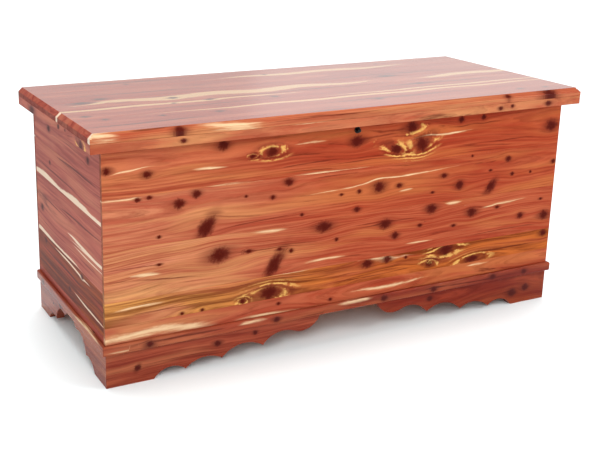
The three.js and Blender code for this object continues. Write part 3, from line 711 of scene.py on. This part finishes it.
FRONT_STREAKS = [
    (210, 370, 327, 6), (415, 640, 327, 6), (700, 910, 380, 4, 6), (430, 900, 292, 3, 14),
    (315, 425, 214, 6), (40, 130, 158, 8), (440, 580, 128, 4), (825, 885, 216, 6),
    (-200, 380, 32, 14, -5), (200, 560, 22, 6, -3), (560, 800, 38, 7, 2), (900, 980, 50, 4),
    (-40, 100, 322, 4), (185, 275, 366, 5), (420, 510, 396, 4, 2), (692, 742, 262, 4),
    (925, 1080, 194, 5, 8), (720, 810, 131, 3), (10, 120, 381, 3, 3), (300, 500, 109, 3, 2),
    (0, 140, 92, 5, 3), (590, 760, 104, 4, -3), (270, 520, 171, -2.5, -5), (-20, 240, 147, -3, -9),
    (-20, 140, 178, -1.5, -1), (380, 560, 352, -3, 4), (470, 760, 345, -2, 3), (560, 700, 392, -4, 4),
    (800, 1000, 398, -3, 2), (560, 780, 190, -2, 3), (880, 1150, 128, -2, 3), (240, 520, 98, -3),
    (500, 800, 70, -2.5, 3), (860, 1160, 78, -3, 4), (0, 260, 78, -2, 2), (240, 460, 240, -1.5, 5),
    (900, 1100, 352, -2, 2),
]

LEFT_SEAMS = (37.5, 129.5, 270.5, 352)
LEFT_TONES = ((0, 0, -0.3, -0.3), (1, 0.9, -0.45, -0.5), (0, 0, 0, 0), (0, 0, 0.1, 0), (0, 0, 0, 0.1))
LEFT_KNOTS = [
    (415, 192, 6, 1.2), (130, 120, 5, 1), (395, 117, 5, 1), (70, 388, 6, 1), (340, 395, 6, 1.2),
    (340, 317, 4, 1), (220, 60, 5, 1), (60, 20, 4, 1),
]
LEFT_STREAKS = [
    (-300, 760, 274, 11), (-60, 240, 186, 5, 3), (110, 640, 133, 6, 2), (60, 330, 120, 3, 3),
    (-40, 200, 172, 2), (0, 300, 345, -3), (120, 460, 300, -2, 2), (-20, 300, 235, -3, -4),
    (200, 470, 222, -2, 3), (-20, 200, 60, 3, 4), (120, 440, 96, -4, 2),
]

RIGHT_SEAMS = (58, 146, 262, 350)
RIGHT_TONES = ((0, 0, -0.2, 0), (0.2, 0, 0, 0.1), (0.7, 0.4, 0, 0), (0, 0, 0, -0.2), (0, 0.2, 0.1, 0))
RIGHT_STREAKS = [(-40, 300, 144, 6), (100, 520, 265, 7), (200, 420, 356, 4, 4)]

BACK_SEAMS = (74, 172, 268, 357)
BACK_TONES = ((0, 0.2, -0.1, 0), (0, 0, 0.1, 0), (0.7, 0.3, 0, 0.1), (0, 0, -0.2, 0), (0, 0.3, 0, 0.1))
BACK_STREAKS = [(100, 760, 76, 6), (500, 1250, 266, 9), (-60, 420, 352, 6), (800, 1000, 410, 4, 5)]

LID_SEAMS = (136, 226, 300, 414)
LID_TONES = ((0, 0, -0.1, 0), (0, 0, 0, 0.1), (0, 0, 0, 0.1), (0, 0, -0.15, 0), (0, 0, 0, 0.1))
LID_KNOTS = [
    (183, 2, 5, 2.0), (1000, 4, 3, 2.0), (1123, 1, 9, 1.6), (127, 308, 8, 1.4), (75, 282, 9, 1.8),
    (279, 262, 7, 1.2), (259, 209, 4, 1), (347, 218, 6, 1.2), (495, 190, 6, 1.2), (875, 306, 12, 1.6),
    (895, 198, 7, 1.3), (43, 154, 6, 1.2), (71, 114, 5, 1), (191, 106, 5, 1), (315, 98, 6, 1.2),
    (695, 78, 6, 1.2), (1075, 50, 5, 1.2), (1147, 42, 5, 1), (600, 440, 4, 1), (950, 470, 4, 1),
    (240, 450, 4, 1),
]
LID_STREAKS = [
    (-80, 80, 3, 9), (200, 380, 3, 8), (60, 200, 8, -3), (420, 700, 2, -2), (430, 1060, 434, 16),
    (0, 860, 270, 26), (900, 1300, 268, 18, 8), (-200, 640, 212, 10, 3), (100, 1350, 126, 10),
    (560, 1350, 152, 7, 4), (330, 900, 232, -5), (60, 420, 350, -5), (640, 1100, 330, -6, 4),
    (120, 520, 172, -4), (500, 960, 84, -5), (700, 1150, 196, -5), (-20, 300, 60, -6, 4),
    (60, 420, 470, -6),
]


INNER_X = BOTTOM_HIGH[X]
PANEL_X = [FRONT_LOW[X], -INNER_X, INNER_X, FRONT_HIGH[X]]
FRONT_LAP = LEFT_LOW[Y] - GAP
BACK_LAP = LEFT_HIGH[Y] + GAP
LOCK_LOW, LOCK_HIGH = span("lock_case")
LOCK_Z = (LOCK_LOW[Z] + LOCK_HIGH[Z]) / 2
BARREL_HOLE = 6.8
HOLE_SIDES = 40


def lip(lap, way):
    """Which cells of a front or back panel are wood: it laps over the side panels' ends from lap
    on, in the direction way."""
    return lambda x, y, z: (np.abs(x) < INNER_X) | ((y - lap) * way > 0)


def lock_hole():
    """The round tool that bores the front panel for the lock."""
    profile = [(FRONT_LOW[Y] - 5, BARREL_HOLE), (FRONT_HIGH[Y] + 5, BARREL_HOLE)]
    return build("lock_hole_tool", *turned(profile, Y, (LOCK_Z, 0), HOLE_SIDES))


def add_front():
    """The front panel, lapped over the sides and bored for the lock."""
    cuts = [PANEL_X, [FRONT_LOW[Y], FRONT_LAP, FRONT_HIGH[Y]], [FRONT_LOW[Z], FRONT_HIGH[Z]]]
    add_panel("front_panel", ALONG_X, cuts, FRONT_SEAMS, FRONT_TONES_AND_PAINTED_SHADE, FRONT_KNOTS, FRONT_STREAKS, 11,
              material=front_cedar, slot="heartwood", bare=(Y, 1), filled=lip(FRONT_LAP, -1),
              hole=lock_hole(), step=FACE_STEP)


LEAF_CLEARANCE = 1.0
LEAF_REBATE = 1.5


def add_back():
    """The back panel, lapped over the sides, its top edge cut down where the hinge lies."""
    leaf_half = span("hinge_leaf_lid")[1][X] + LEAF_CLEARANCE
    leaf_floor = BACK_HIGH[Z] - LEAF_REBATE
    cuts = [sorted([*PANEL_X, -leaf_half, leaf_half]), [BACK_LOW[Y], BACK_LAP, BACK_HIGH[Y]],
            [BACK_LOW[Z], leaf_floor, BACK_HIGH[Z]]]
    laps = lip(BACK_LAP, 1)

    def wood(x, y, z):
        return laps(x, y, z) & ((np.abs(x) > leaf_half) | (z < leaf_floor))
    add_panel("back_panel", ALONG_X, cuts, BACK_SEAMS, BACK_TONES, [], BACK_STREAKS, 31,
              material=side_cedar, slot="sidewood", bare=(Y, -1), filled=wood)


def add_sides():
    for node, seams, tones, knots, streaks, seed, inward in (
        ("left_side_panel", LEFT_SEAMS, LEFT_TONES, LEFT_KNOTS, LEFT_STREAKS, 51, 1),
        ("right_side_panel", RIGHT_SEAMS, RIGHT_TONES, [], RIGHT_STREAKS, 61, -1),
    ):
        add_panel(node, ALONG_Y, planes(node), seams, tones, knots, streaks, seed,
                  material=side_cedar, slot="sidewood", bare=(X, inward))


LID_CHAMFER = 9.0


def chamfered(points):
    """Takes the top edges off the lid's front and ends."""
    x, y, z = points.T
    past = np.maximum(np.abs(x) - (LID_HIGH[X] - LID_CHAMFER), LID_LOW[Y] + LID_CHAMFER - y)
    top = LID_HIGH[Z] - np.maximum(past, 0)
    return np.column_stack([x, y, np.minimum(z, top)])


def add_lid():
    """The lid's boards, with the edge's wood on their front and the ends' wood on their ends."""
    edge = LID_HIGH[X] - LID_CHAMFER
    cuts = [
        [LID_LOW[X], -edge, edge, LID_HIGH[X]],
        [LID_LOW[Y], LID_LOW[Y] + LID_CHAMFER, LID_HIGH[Y]],
        [LID_LOW[Z], LID_HIGH[Z] - LID_CHAMFER, LID_HIGH[Z]],
    ]
    boards = add_panel("lid_panel", FLAT, cuts, LID_SEAMS, LID_TONES, LID_KNOTS, LID_STREAKS, 71,
                       body="lid", material=lid_cedar, slot="lidwood", bare=(Z, -1), shape=chamfered)
    for board in boards:
        board.data.materials.append(edge_cedar)
        board.data.materials.append(side_cedar)
        for face in board.data.polygons:
            if face.normal.y < -0.5:
                face.material_index = 2
            elif abs(face.normal.x) > 0.5:
                face.material_index = 3


EDGE_KNOTS = [(190, 9, 4, 1.3), (978, 8, 4, 1.2), (1012, 11, 3.5, 1), (1120, 9, 5, 1.4)]
EDGE_STREAKS = [(420, 560, 19, 2)]


def add_lid_edges():
    """The strips under the lid's front and ends, mitred where they meet."""
    low, high = span("lid_edge_front")
    inner = span("lid_edge_left")[1][X]

    def mitred(points):
        inwards = (points[:, Y] - low[Y]) / (high[Y] - low[Y])
        points[:, X] *= 1 - inwards * (1 + inner / high[X])
        return points
    add_board("lid_edge_front_strip", planes("lid_edge_front"), ALONG_X, edge_cedar, "heartwood",
              ["lid_edge_front"], 81, "lid", shape=mitred, knots=EDGE_KNOTS, streaks=EDGE_STREAKS)
    for label, seed in (("left", 82), ("right", 83)):
        add_lid_edge_side(label, seed, high[Y] + GAP)


def add_lid_edge_side(label, seed, front_inner):
    """A strip under an end of the lid. front_inner is where its mitre meets the front strip's back."""
    node = f"lid_edge_{label}"
    low, high = span(node)

    def mitred(points):
        inwards = np.abs(points[:, X] - (low[X] if label == "left" else high[X])) / (high[X] - low[X])
        from_back = (high[Y] - points[:, Y]) / (high[Y] - low[Y])
        points[:, Y] += from_back * inwards * (front_inner - low[Y])
        return points
    add_board(f"{node}_strip", planes(node), ALONG_Y, side_cedar, "sidewood", [node], seed, "lid",
              shape=mitred, knots=strewn(seed, 480, 19, 4))


BOTTOM_SEAMS = (92, 187, 270, 352)
BOTTOM_STREAKS = [(0, 700, 94, 6), (400, 1100, 272, 7)]


def add_bottom():
    """The bottom panel, with the four cleats that carry it."""
    tones = [(0, 0, shade, 0) for shade in (0.1, 0, 0.15, -0.1, 0)]
    add_panel("bottom_panel", FLAT, planes("bottom_panel"), BOTTOM_SEAMS, tones, [], BOTTOM_STREAKS, 91,
              material=inside_cedar, slot="insidewood")
    for number, side in enumerate(("front", "back", "left", "right")):
        node = f"bottom_cleat_{side}"
        axes = ALONG_X if number < 2 else ALONG_Y
        add_board(f"{node}_strip", planes(node), axes, inside_cedar, "insidewood", [node], 97 + number,
                  rounding=SOFT_ARRIS)


# ---- Base moulding and bracket feet

ROUND_TOP = 4.0
ROUND_BOTTOM = 2.5
MITRE_GAP = 0.2
MOULDING_KNOTS = [
    (100, 10, 5, 1.3), (396, 10, 5, 1.2), (676, 11, 6, 1.2), (816, 9, 5, 1.2), (992, 12, 5, 1.3),
    (1090, 10, 5, 1.2),
]
MOULDING_STREAKS = [
    (0, 90, 7, 5), (290, 385, 14, 7), (540, 660, 17, 5), (60, 300, 13, -4, 2), (380, 700, 6, -3, 2),
    (700, 1100, 10, -3, -2),
]


def moulding_section():
    """Outline of the moulding as (standing out, height), with its front corners rounded."""
    back, out = GAP, FRONT_LOW[Y] - MOULDING_LOW[Y]
    low, high = MOULDING_LOW[Z], MOULDING_HIGH[Z]
    outline = [(back, low)]
    rounds = ((ROUND_BOTTOM, low + ROUND_BOTTOM, -90), (ROUND_TOP, high - ROUND_TOP, 0))
    for radius, centre_z, start in rounds:
        for turn in range(start, start + 91, 15):
            angle = math.radians(turn)
            outline.append((out - radius + radius * math.cos(angle),
                            centre_z + radius * math.sin(angle)))
    return np.array([*outline, (back, high)])


def add_mouldings():
    section = moulding_section()
    half = FRONT_HIGH[X]
    stations = divide([-half, half], STEP)
    outline = np.column_stack([FRONT_LOW[Y] - section[:, 0], section[:, 1]])
    points, faces = sweep(outline, X, stations)
    points[:, X] *= 1 + (FRONT_LOW[Y] - points[:, Y] - MITRE_GAP) / half
    # The front moulding darkens towards its right end. This is partly the wood's own tone and partly
    # painted shade, where less light falls towards the right.
    add_moulding("front", points, faces, ALONG_X, 111, knots=MOULDING_KNOTS, streaks=MOULDING_STREAKS,
                 tone=(0, 0, 0, -0.25))
    front, back = FRONT_LOW[Y], BACK_HIGH[Y]
    for label, side in (("left", -1), ("right", 1)):
        outline = np.column_stack([section[:, 1], side * (half + section[:, 0])])
        points, faces = sweep(outline, Y, divide([front, back], STEP))
        from_back = (back - points[:, Y]) / (back - front)
        points[:, Y] -= from_back * (np.abs(points[:, X]) - half - MITRE_GAP)
        add_moulding(label, points, faces, ALONG_Y, 112 + (side > 0),
                     knots=strewn(112 + side, 460, 20, 3), streaks=[(-20, 240, 18, 5)])


def add_moulding(label, points, faces, axes, seed, **grain):
    node = f"base_moulding_{label}"
    mesh = build(node, points, faces, ARRIS, angle=1.0)
    paint_grain(mesh, axes, *span(node), seed, **grain)
    add_piece(f"{node}_strip", mesh, base_cedar, "basewood", [node], smooth=True)


# Bracket outlines, measured from the corner: the flat on the floor, the scallops' crowns and far
# cusps, and an ogee of an arch and a belly that ends under the moulding.
LONG_BRACKET = dict(
    flat=104, scallops=(((141, 21), (176, 9)), ((221, 27.5), (261, 16.5)), ((313, 40.5), (360, 26.5))),
    crown=(400, 50.5), turn=(437, 46), belly=(462, 42), end=504)
SHORT_BRACKET = dict(
    flat=73, scallops=(((102, 21.5), (129, 18.5)),),
    crown=(150, 50), turn=(184, 56), belly=(196, 55), end=214)
ARC_POINTS = 12


def arc(a, b, c):
    """Points after a on the circle from a through b to c."""
    (ax, ay), (bx, by), (cx, cy) = a, b, c
    d = 2 * (ax * (by - cy) + bx * (cy - ay) + cx * (ay - by))
    aa, bb, cc = (p[0] ** 2 + p[1] ** 2 for p in (a, b, c))
    x = (aa * (by - cy) + bb * (cy - ay) + cc * (ay - by)) / d
    y = (aa * (cx - bx) + bb * (ax - cx) + cc * (bx - ax)) / d
    start = math.atan2(ay - y, ax - x)
    turn = (math.atan2(cy - y, cx - x) - start) % (2 * math.pi)
    if d < 0:
        turn -= 2 * math.pi
    radius = math.hypot(ax - x, ay - y)
    angles = start + turn * np.arange(1, ARC_POINTS + 1) / ARC_POINTS
    return [(x + radius * math.cos(t), y + radius * math.sin(t)) for t in angles]


def bracket_outline(bracket, top):
    """Points round a bracket, from its corner on the floor: along its scalloped edge and back."""
    outline = [(0.0, 0.0), (bracket["flat"], 0.0)]
    for crown, cusp in bracket["scallops"]:
        outline += arc(outline[-1], crown, cusp)
    outline += arc(outline[-1], bracket["crown"], bracket["turn"])
    outline += arc(outline[-1], bracket["belly"], (bracket["end"], top))
    return [*outline, (0.0, top)]


def sawn(name, outline, thickness, place):
    """A flat outline as a solid, its faces cut into cells. place turns (along, up, in) to a point."""
    bm = bmesh.new()
    bm.faces.new([bm.verts.new((x, z, 0)) for x, z in outline])
    reach = np.array(outline).max(0)
    for axis in (X, Y):
        direction = Vector((axis == X, axis == Y, 0))
        for at in divide([0, reach[axis]], STEP)[1:-1]:
            bmesh.ops.bisect_plane(bm, geom=bm.verts[:] + bm.edges[:] + bm.faces[:],
                                   plane_co=direction * at, plane_no=direction)
    raised = bmesh.ops.extrude_face_region(bm, geom=bm.faces[:], use_keep_orig=True)["geom"]
    bmesh.ops.translate(bm, verts=[v for v in raised if isinstance(v, bmesh.types.BMVert)],
                        vec=(0, 0, thickness))
    points = [place(*v.co) for v in bm.verts]
    bm.verts.index_update()
    faces = [[v.index for v in f.verts] for f in bm.faces]
    bm.free()
    return build(name, points, faces, ARRIS, angle=1.0)


def outward(node, axis):
    """-1 or 1, the way from the middle of the chest to a CAD node along an axis, and the node's
    outer plane there."""
    low, high = (corner[axis] for corner in span(node))
    return (-1, low) if low + high < BOTTOM_LOW[axis] + BOTTOM_HIGH[axis] else (1, high)


def add_bracket(node, bracket, axes, seed, **grain):
    """One bracket foot, mitred at the corner as far as its flat goes."""
    low, high = span(node)
    along, _, into = axes
    end, corner = outward(node, along)
    side, outer = outward(node, into)

    def place(x, z, depth):
        point = [0.0, 0.0, z]
        point[along] = corner - end * (x + depth * max(0.0, 1 - x / bracket["flat"]))
        point[into] = outer - side * depth
        return point
    mesh = sawn(node, bracket_outline(bracket, high[Z]), high[into] - low[into], place)
    paint_grain(mesh, axes, low, high, seed, **grain)
    add_piece(f"{node}_foot", mesh, base_cedar, "basewood", [node])


FOOT_KNOTS_LEFT = [(68, 33, 5, 1.1, 60, 0), (250, 52, 5, 1.2), (340, 60, 4, 1)]
FOOT_KNOTS_RIGHT = [(402, 30, 8, 1.2), (443, 38, 7, 1.1), (150, 58, 5, 1.2)]


def add_brackets():
    seed = 121
    for label, knots in (("left", FOOT_KNOTS_LEFT), ("right", FOOT_KNOTS_RIGHT)):
        # The right front foot is darker than the left. This is partly the wood's own tone and partly
        # painted shade, where less light falls towards the chest's right.
        shade = 0 if label == "left" else -0.4
        add_bracket(f"bracket_front_{label}", LONG_BRACKET, ALONG_X, seed, knots=knots,
                    tone=(0, 0, shade, shade))
        short = ((f"back_{label}", ALONG_X, 1, 0), (f"{label}_front", ALONG_Y, 2, 5),
                 (f"{label}_back", ALONG_Y, 3, 9))
        for place, axes, more, sown in short:
            add_bracket(f"bracket_{place}", SHORT_BRACKET, axes, seed + more,
                        knots=strewn(seed + sown, SHORT_BRACKET["end"], 70, 3))
        for end in ("front", "back"):
            add_corner_block(f"corner_block_{end}_{label}", seed + 4 + (end == "back"))
        seed += 10


BLOCK_NOSE = 8.0


def add_corner_block(node, seed):
    """A glue block: a square post with its free corner sawn off."""
    low, high = span(node)
    (side_x, corner_x), (side_y, corner_y) = (outward(node, axis) for axis in (X, Y))
    width, depth, _ = high - low
    legs = [(0, 0), (width, 0), (width, BLOCK_NOSE), (BLOCK_NOSE, depth), (0, depth)]
    outline = [(corner_x - side_x * x, corner_y - side_y * y) for x, y in legs]
    mesh = build(node, *sweep(outline, Z, divide([low[Z], high[Z]], STEP)), SOFT_ARRIS)
    paint_grain(mesh, (Z, X, Y), low, high, seed)
    add_piece(f"{node}_wood", mesh, inside_cedar, "insidewood", [node])


# ---- Screws

SCREW_SIDES = 24
SCREW_RADIUS = 1.6
SCREW_HEAD_RADIUS = 2.8
SCREW_HEAD_HEIGHT = 1.6
SLOT_WIDTH = 0.7
SLOT_DEPTH = 0.7
THREAD_PITCH = 1.6


def screw_mesh(name, axis, centre, crown, seat, tip, shank_radius):
    """A round-headed wood screw with a slot. crown, seat and tip are places along its axis: the
    top of the head, the plane that the head lies on and the point."""
    way = 1 if tip > crown else -1
    height = abs(seat - crown)
    profile = []
    for turn in range(5, 91, 17):
        angle = math.radians(turn)
        profile.append((crown + way * height * (1 - math.cos(angle)), SCREW_HEAD_RADIUS * math.sin(angle)))
    profile += [(seat, SCREW_HEAD_RADIUS), (seat, shank_radius * 0.8)]
    turns = int((abs(tip - seat) - 3) / THREAD_PITCH)
    for number in range(turns):
        place = seat + way * (1 + number * THREAD_PITCH)
        profile += [(place, shank_radius * 0.7), (place + way * 0.5 * THREAD_PITCH, shank_radius)]
    profile += [(tip - way * 1.5, shank_radius * 0.7), (tip, 0.15)]
    mesh = build(name, *turned(profile, axis, centre, SCREW_SIDES))
    u, v = (axis + 1) % 3, (axis + 2) % 3
    slot = [None, None, None]
    slot[axis] = sorted((crown - way, crown + way * SLOT_DEPTH))
    slot[u] = [centre[0] - SLOT_WIDTH / 2, centre[0] + SLOT_WIDTH / 2]
    slot[v] = [centre[1] - 2 * SCREW_HEAD_RADIUS, centre[1] + 2 * SCREW_HEAD_RADIUS]
    return cut_away(mesh, build(f"{name}_slot", *block(*slot)))


def add_screw(node, body, axis, way):
    """Replaces a CAD screw. way is +1 or -1, the direction that its point faces."""
    low, high = span(node)
    centre = [(low[i] + high[i]) / 2 for i in ((axis + 1) % 3, (axis + 2) % 3)]
    crown, tip = (low[axis], high[axis]) if way > 0 else (high[axis], low[axis])
    mesh = screw_mesh(node, axis, centre, crown, crown + way * SCREW_HEAD_HEIGHT, tip, SCREW_RADIUS)
    add_piece(f"{node}_slotted", mesh, screw_brass, "screw_brass", [node], body, smooth=True)


def add_screws():
    for label, side in (("left", -1), ("right", 1)):
        for number in (1, 2):
            add_screw(f"stay_box_screw_{label}_{number}", "chest_body", X, side)
            add_screw(f"stay_lid_screw_{label}_{number}", "lid", Z, 1)
        add_screw(f"lock_strike_screw_{label}", "lid", Z, 1)
        add_screw(f"lock_case_screw_{label}", "chest_body", Y, -1)


# ---- Continuous hinge

PIN_LOW, PIN_HIGH = span("hinge_pin")
HINGE_AXIS = ((PIN_LOW[Y] + PIN_HIGH[Y]) / 2, (PIN_LOW[Z] + PIN_HIGH[Z]) / 2)
BOX_LEAF_LOW = span("hinge_leaf_box")[0]
LID_LEAF_LOW, LID_LEAF_HIGH = span("hinge_leaf_lid")
KNUCKLE_SIDES = 20
KNUCKLE_RADIUS = 3.5
KNUCKLE_BORE = 1.4
KNUCKLE_PITCH = 12.5
KNUCKLE_PLAY = 0.15
KNUCKLE_EASE = 0.25
PIN_RADIUS = 1.25
PIN_EASE = 0.4
LEAF_THICKNESS = 1.2
LEAF_FROM_KNUCKLE = 0.5
LEAF_SCREW_PITCH = 50.0
LEAF_SCREW_FROM_AXIS = 13.0
LEAF_SCREW_RADIUS = 1.3
# Top, seat and point of a leaf's screw, measured into the wood from the leaf's face.
LEAF_SCREW_DEPTHS = (-0.35, 0.4, 9)


def knuckle(start, end):
    """A rolled knuckle: a short tube with its edges eased."""
    eased = KNUCKLE_RADIUS - KNUCKLE_EASE
    profile = [(start, KNUCKLE_BORE), (start, eased), (start + KNUCKLE_EASE, KNUCKLE_RADIUS),
               (end - KNUCKLE_EASE, KNUCKLE_RADIUS), (end, eased), (end, KNUCKLE_BORE)]
    return turned_tube(profile, X, HINGE_AXIS, KNUCKLE_SIDES)


def add_leaf(name, node, body, first, plate, strap):
    """One leaf: a plate with every second knuckle. plate and strap are y and z spans."""
    half = LID_LEAF_HIGH[X]
    parts = [block([-half, half], *plate)]
    count = round(2 * half / KNUCKLE_PITCH)
    for index in range(first, count, 2):
        start = -half + index * KNUCKLE_PITCH + KNUCKLE_PLAY
        end = start + KNUCKLE_PITCH - 2 * KNUCKLE_PLAY
        parts.append(knuckle(start, end))
        parts.append(block([start, end], *strap))
    mesh = build(name, *joined(*parts))
    piece = add_piece(name, mesh, hinge_brass, "hinge_brass", [node], body)
    ease_edges(piece, 0.15, 50)
    shade_smooth(mesh)


def add_leaf_screws(name, body, axis, way, face, across):
    """A row of flat-headed screws, drawn as one piece, their heads level with the leaf."""
    half = LID_LEAF_HIGH[X]
    meshes = []
    for place in np.arange(-half + LEAF_SCREW_PITCH / 2, half, LEAF_SCREW_PITCH):
        centre = (across, place) if axis == Y else (place, across)
        places = [face + way * depth for depth in LEAF_SCREW_DEPTHS]
        meshes.append(screw_mesh(name, axis, centre, *places, LEAF_SCREW_RADIUS))
    bm = bmesh.new()
    for mesh in meshes:
        bm.from_mesh(mesh)
    row = bpy.data.meshes.new(name)
    bm.to_mesh(row)
    bm.free()
    add_piece(name, row, screw_brass, "screw_brass", body=body, smooth=True)


def add_hinge():
    axis_y, axis_z = HINGE_AXIS
    box_y = [BOX_LEAF_LOW[Y], BOX_LEAF_LOW[Y] + LEAF_THICKNESS]
    top = axis_z - KNUCKLE_RADIUS - LEAF_FROM_KNUCKLE
    add_leaf("hinge_box_strip", "hinge_leaf_box", "chest_body", 0,
             (box_y, [BOX_LEAF_LOW[Z], top]), (box_y, [top - 1, axis_z]))
    lid_z = [LID_LEAF_HIGH[Z] - LEAF_THICKNESS, LID_LEAF_HIGH[Z]]
    near = axis_y - KNUCKLE_RADIUS - LEAF_FROM_KNUCKLE
    add_leaf("hinge_lid_strip", "hinge_leaf_lid", "lid", 1,
             ([LID_LEAF_LOW[Y], near], lid_z), ([near - 1, axis_y], lid_z))
    add_leaf_screws("hinge_box_screws", "chest_body", Y, -1, box_y[1], axis_z - LEAF_SCREW_FROM_AXIS)
    add_leaf_screws("hinge_lid_screws", "lid", Z, 1, lid_z[0], axis_y - LEAF_SCREW_FROM_AXIS)
    low, high = PIN_LOW[X], PIN_HIGH[X]
    profile = [(low, PIN_RADIUS - PIN_EASE), (low + PIN_EASE, PIN_RADIUS),
               (high - PIN_EASE, PIN_RADIUS), (high, PIN_RADIUS - PIN_EASE)]
    mesh = build("hinge_pin", *turned(profile, X, HINGE_AXIS, KNUCKLE_SIDES))
    add_piece("hinge_pin_rod", mesh, pin_steel, "hinge_pin_steel", ["hinge_pin"], smooth=True)


# ---- Parts kept from the CAD model, with their edges eased


def finish_node(node, material, width):
    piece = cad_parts[node]
    piece.data.materials.clear()
    piece.data.materials.append(material)
    ease_edges(piece, width, 40)


def finish_stays():
    for label in ("left", "right"):
        for part in ("box_plate", "lid_plate", "lower_arm", "upper_arm", "elbow_rivet"):
            finish_node(f"stay_{part}_{label}", stay_brass, 0.25)


# ---- Push lock

BARREL_LOW, BARREL_HIGH = span("lock_barrel")
PLUNGER_LOW, PLUNGER_HIGH = span("lock_plunger")
BARREL_RADIUS = 6.5
PLUNGER_RADIUS = 4.5
PLUNGER_CLEARANCE = 0.1
KEY_SLOT_WIDTH = 0.9
KEY_SLOT_HEIGHT = 4.6
LOCK_SIDES = 48


def add_lock():
    """Bezel and barrel with a rolled rim, a domed plunger with a key slot, a case and a strike."""
    front, end = BARREL_LOW[Y], BARREL_HIGH[Y]
    rim = (BARREL_HIGH[X] - BARREL_LOW[X]) / 2
    bore = PLUNGER_RADIUS + PLUNGER_CLEARANCE
    profile = [(front + 0.35, bore), (front + 0.1, bore + 0.3), (front, bore + 0.8),
               (front, rim - 0.9), (front + 0.3, rim - 0.3), (front + 0.9, rim), (front + 1.5, rim),
               (front + 1.5, BARREL_RADIUS), (end, BARREL_RADIUS), (end, bore)]
    barrel = build("lock_barrel", *turned_tube(profile, Y, (LOCK_Z, 0), LOCK_SIDES))
    add_piece("lock_barrel_turned", barrel, lock_black, "lock_black", ["lock_barrel"], smooth=True)

    front, end = PLUNGER_LOW[Y], PLUNGER_HIGH[Y]
    profile = [(front, 0.4), (front + 0.05, 2.4), (front + 0.25, 3.5), (front + 0.7, 4.2),
               (front + 1.3, PLUNGER_RADIUS), (end - 0.6, PLUNGER_RADIUS), (end, PLUNGER_RADIUS - 0.6)]
    plunger = build("lock_plunger", *turned(profile, Y, (LOCK_Z, 0), LOCK_SIDES))
    slot = block([-KEY_SLOT_WIDTH / 2, KEY_SLOT_WIDTH / 2], [front - 1, front + 5],
                 [LOCK_Z - KEY_SLOT_HEIGHT / 2, LOCK_Z + KEY_SLOT_HEIGHT / 2])
    plunger = cut_away(plunger, build("key_slot", *slot))
    add_piece("lock_plunger_turned", plunger, lock_black, "lock_black", ["lock_plunger"],
              body="lock_plunger", smooth=True)
    finish_node("lock_case", lock_steel, 0.8)
    finish_node("lock_strike", lock_steel, 0.4)


# ---- Camera, light and floor

# Place in metres, then azimuth, elevation and roll in degrees.
CAMERA_AT = Vector((-1.1911, -2.0262, 0.9882))
CAMERA_TURN = (-26.889, 15.934, 0.839)
LIT_POINT = Vector((0, 0, 0.25))
FLOOR_REACH = 20000
FLOOR_THICKNESS = 20


def add_camera():
    azimuth, elevation, roll = (math.radians(a) for a in CAMERA_TURN)
    turns = ((azimuth, "Z"), (math.pi / 2 - elevation, "X"), (roll, "Z"))
    data = bpy.data.cameras.new("camera")
    data.sensor_width = 36
    data.lens = 61.28
    data.shift_x = 0.098
    data.shift_y = -0.0782
    camera = bpy.data.objects.new("camera", data)
    camera.matrix_world = Matrix.Translation(CAMERA_AT)
    for angle, axis in turns:
        camera.matrix_world @= Matrix.Rotation(angle, 4, axis)
    bpy.context.scene.collection.objects.link(camera)
    bpy.context.scene.camera = camera


def add_light(name, at, size, power):
    data = bpy.data.lights.new(name, "AREA")
    data.shape = "RECTANGLE"
    data.size, data.size_y = size
    data.energy = power
    light = bpy.data.objects.new(name, data)
    light.location = at
    light.rotation_euler = (LIT_POINT - Vector(at)).to_track_quat("-Z", "Y").to_euler()
    bpy.context.scene.collection.objects.link(light)


def add_studio():
    world = bpy.data.worlds.new("studio")
    world.use_nodes = True
    background = world.node_tree.nodes["Background"]
    background.inputs["Color"].default_value = (1.0, 0.99, 0.98, 1.0)
    background.inputs["Strength"].default_value = 0.6
    bpy.context.scene.world = world
    bpy.context.scene.view_settings.view_transform = "Standard"
    add_light("key", (-1.8, -3.0, 2.2), (2.4, 1.6), 70)
    add_light("rim", (2.1, -1.9, 2.1), (1.6, 0.2), 32)
    add_light("backdrop", (5.0, 4.0, 2.2), (6.0, 2.4), 10)
    sun = bpy.data.lights.new("overhead", "SUN")
    sun.energy = 2.5
    sun.angle = math.radians(40)
    overhead = bpy.data.objects.new("overhead", sun)
    overhead.rotation_euler = Vector((-0.08, -0.22, -1.0)).to_track_quat("-Z", "Y").to_euler()
    overhead.visible_glossy = False
    bpy.context.scene.collection.objects.link(overhead)


def add_floor():
    g = Graph("studio_floor")
    grain = g.noise(g.position(0.002), detail=2)
    floor_colour = g.mix(grain, (0.87, 0.93, 0.94, 1.0), (0.89, 0.95, 0.96, 1.0))
    material = g.finish(Base_Color=floor_colour, Roughness=0.9, Specular_IOR_Level=0.1)
    width = [-FLOOR_REACH, FLOOR_REACH]
    mesh = build("floor", *block(width, width, [-FLOOR_THICKNESS, 0]))
    floor = bpy.data.objects.new("floor", mesh)
    mesh.materials.append(material)
    bpy.context.scene.collection.objects.link(floor)


add_camera()
add_studio()
add_floor()
add_front()
add_back()
add_sides()
add_lid()
add_lid_edges()
add_bottom()
add_mouldings()
add_brackets()
add_screws()
add_hinge()
finish_stays()
add_lock()
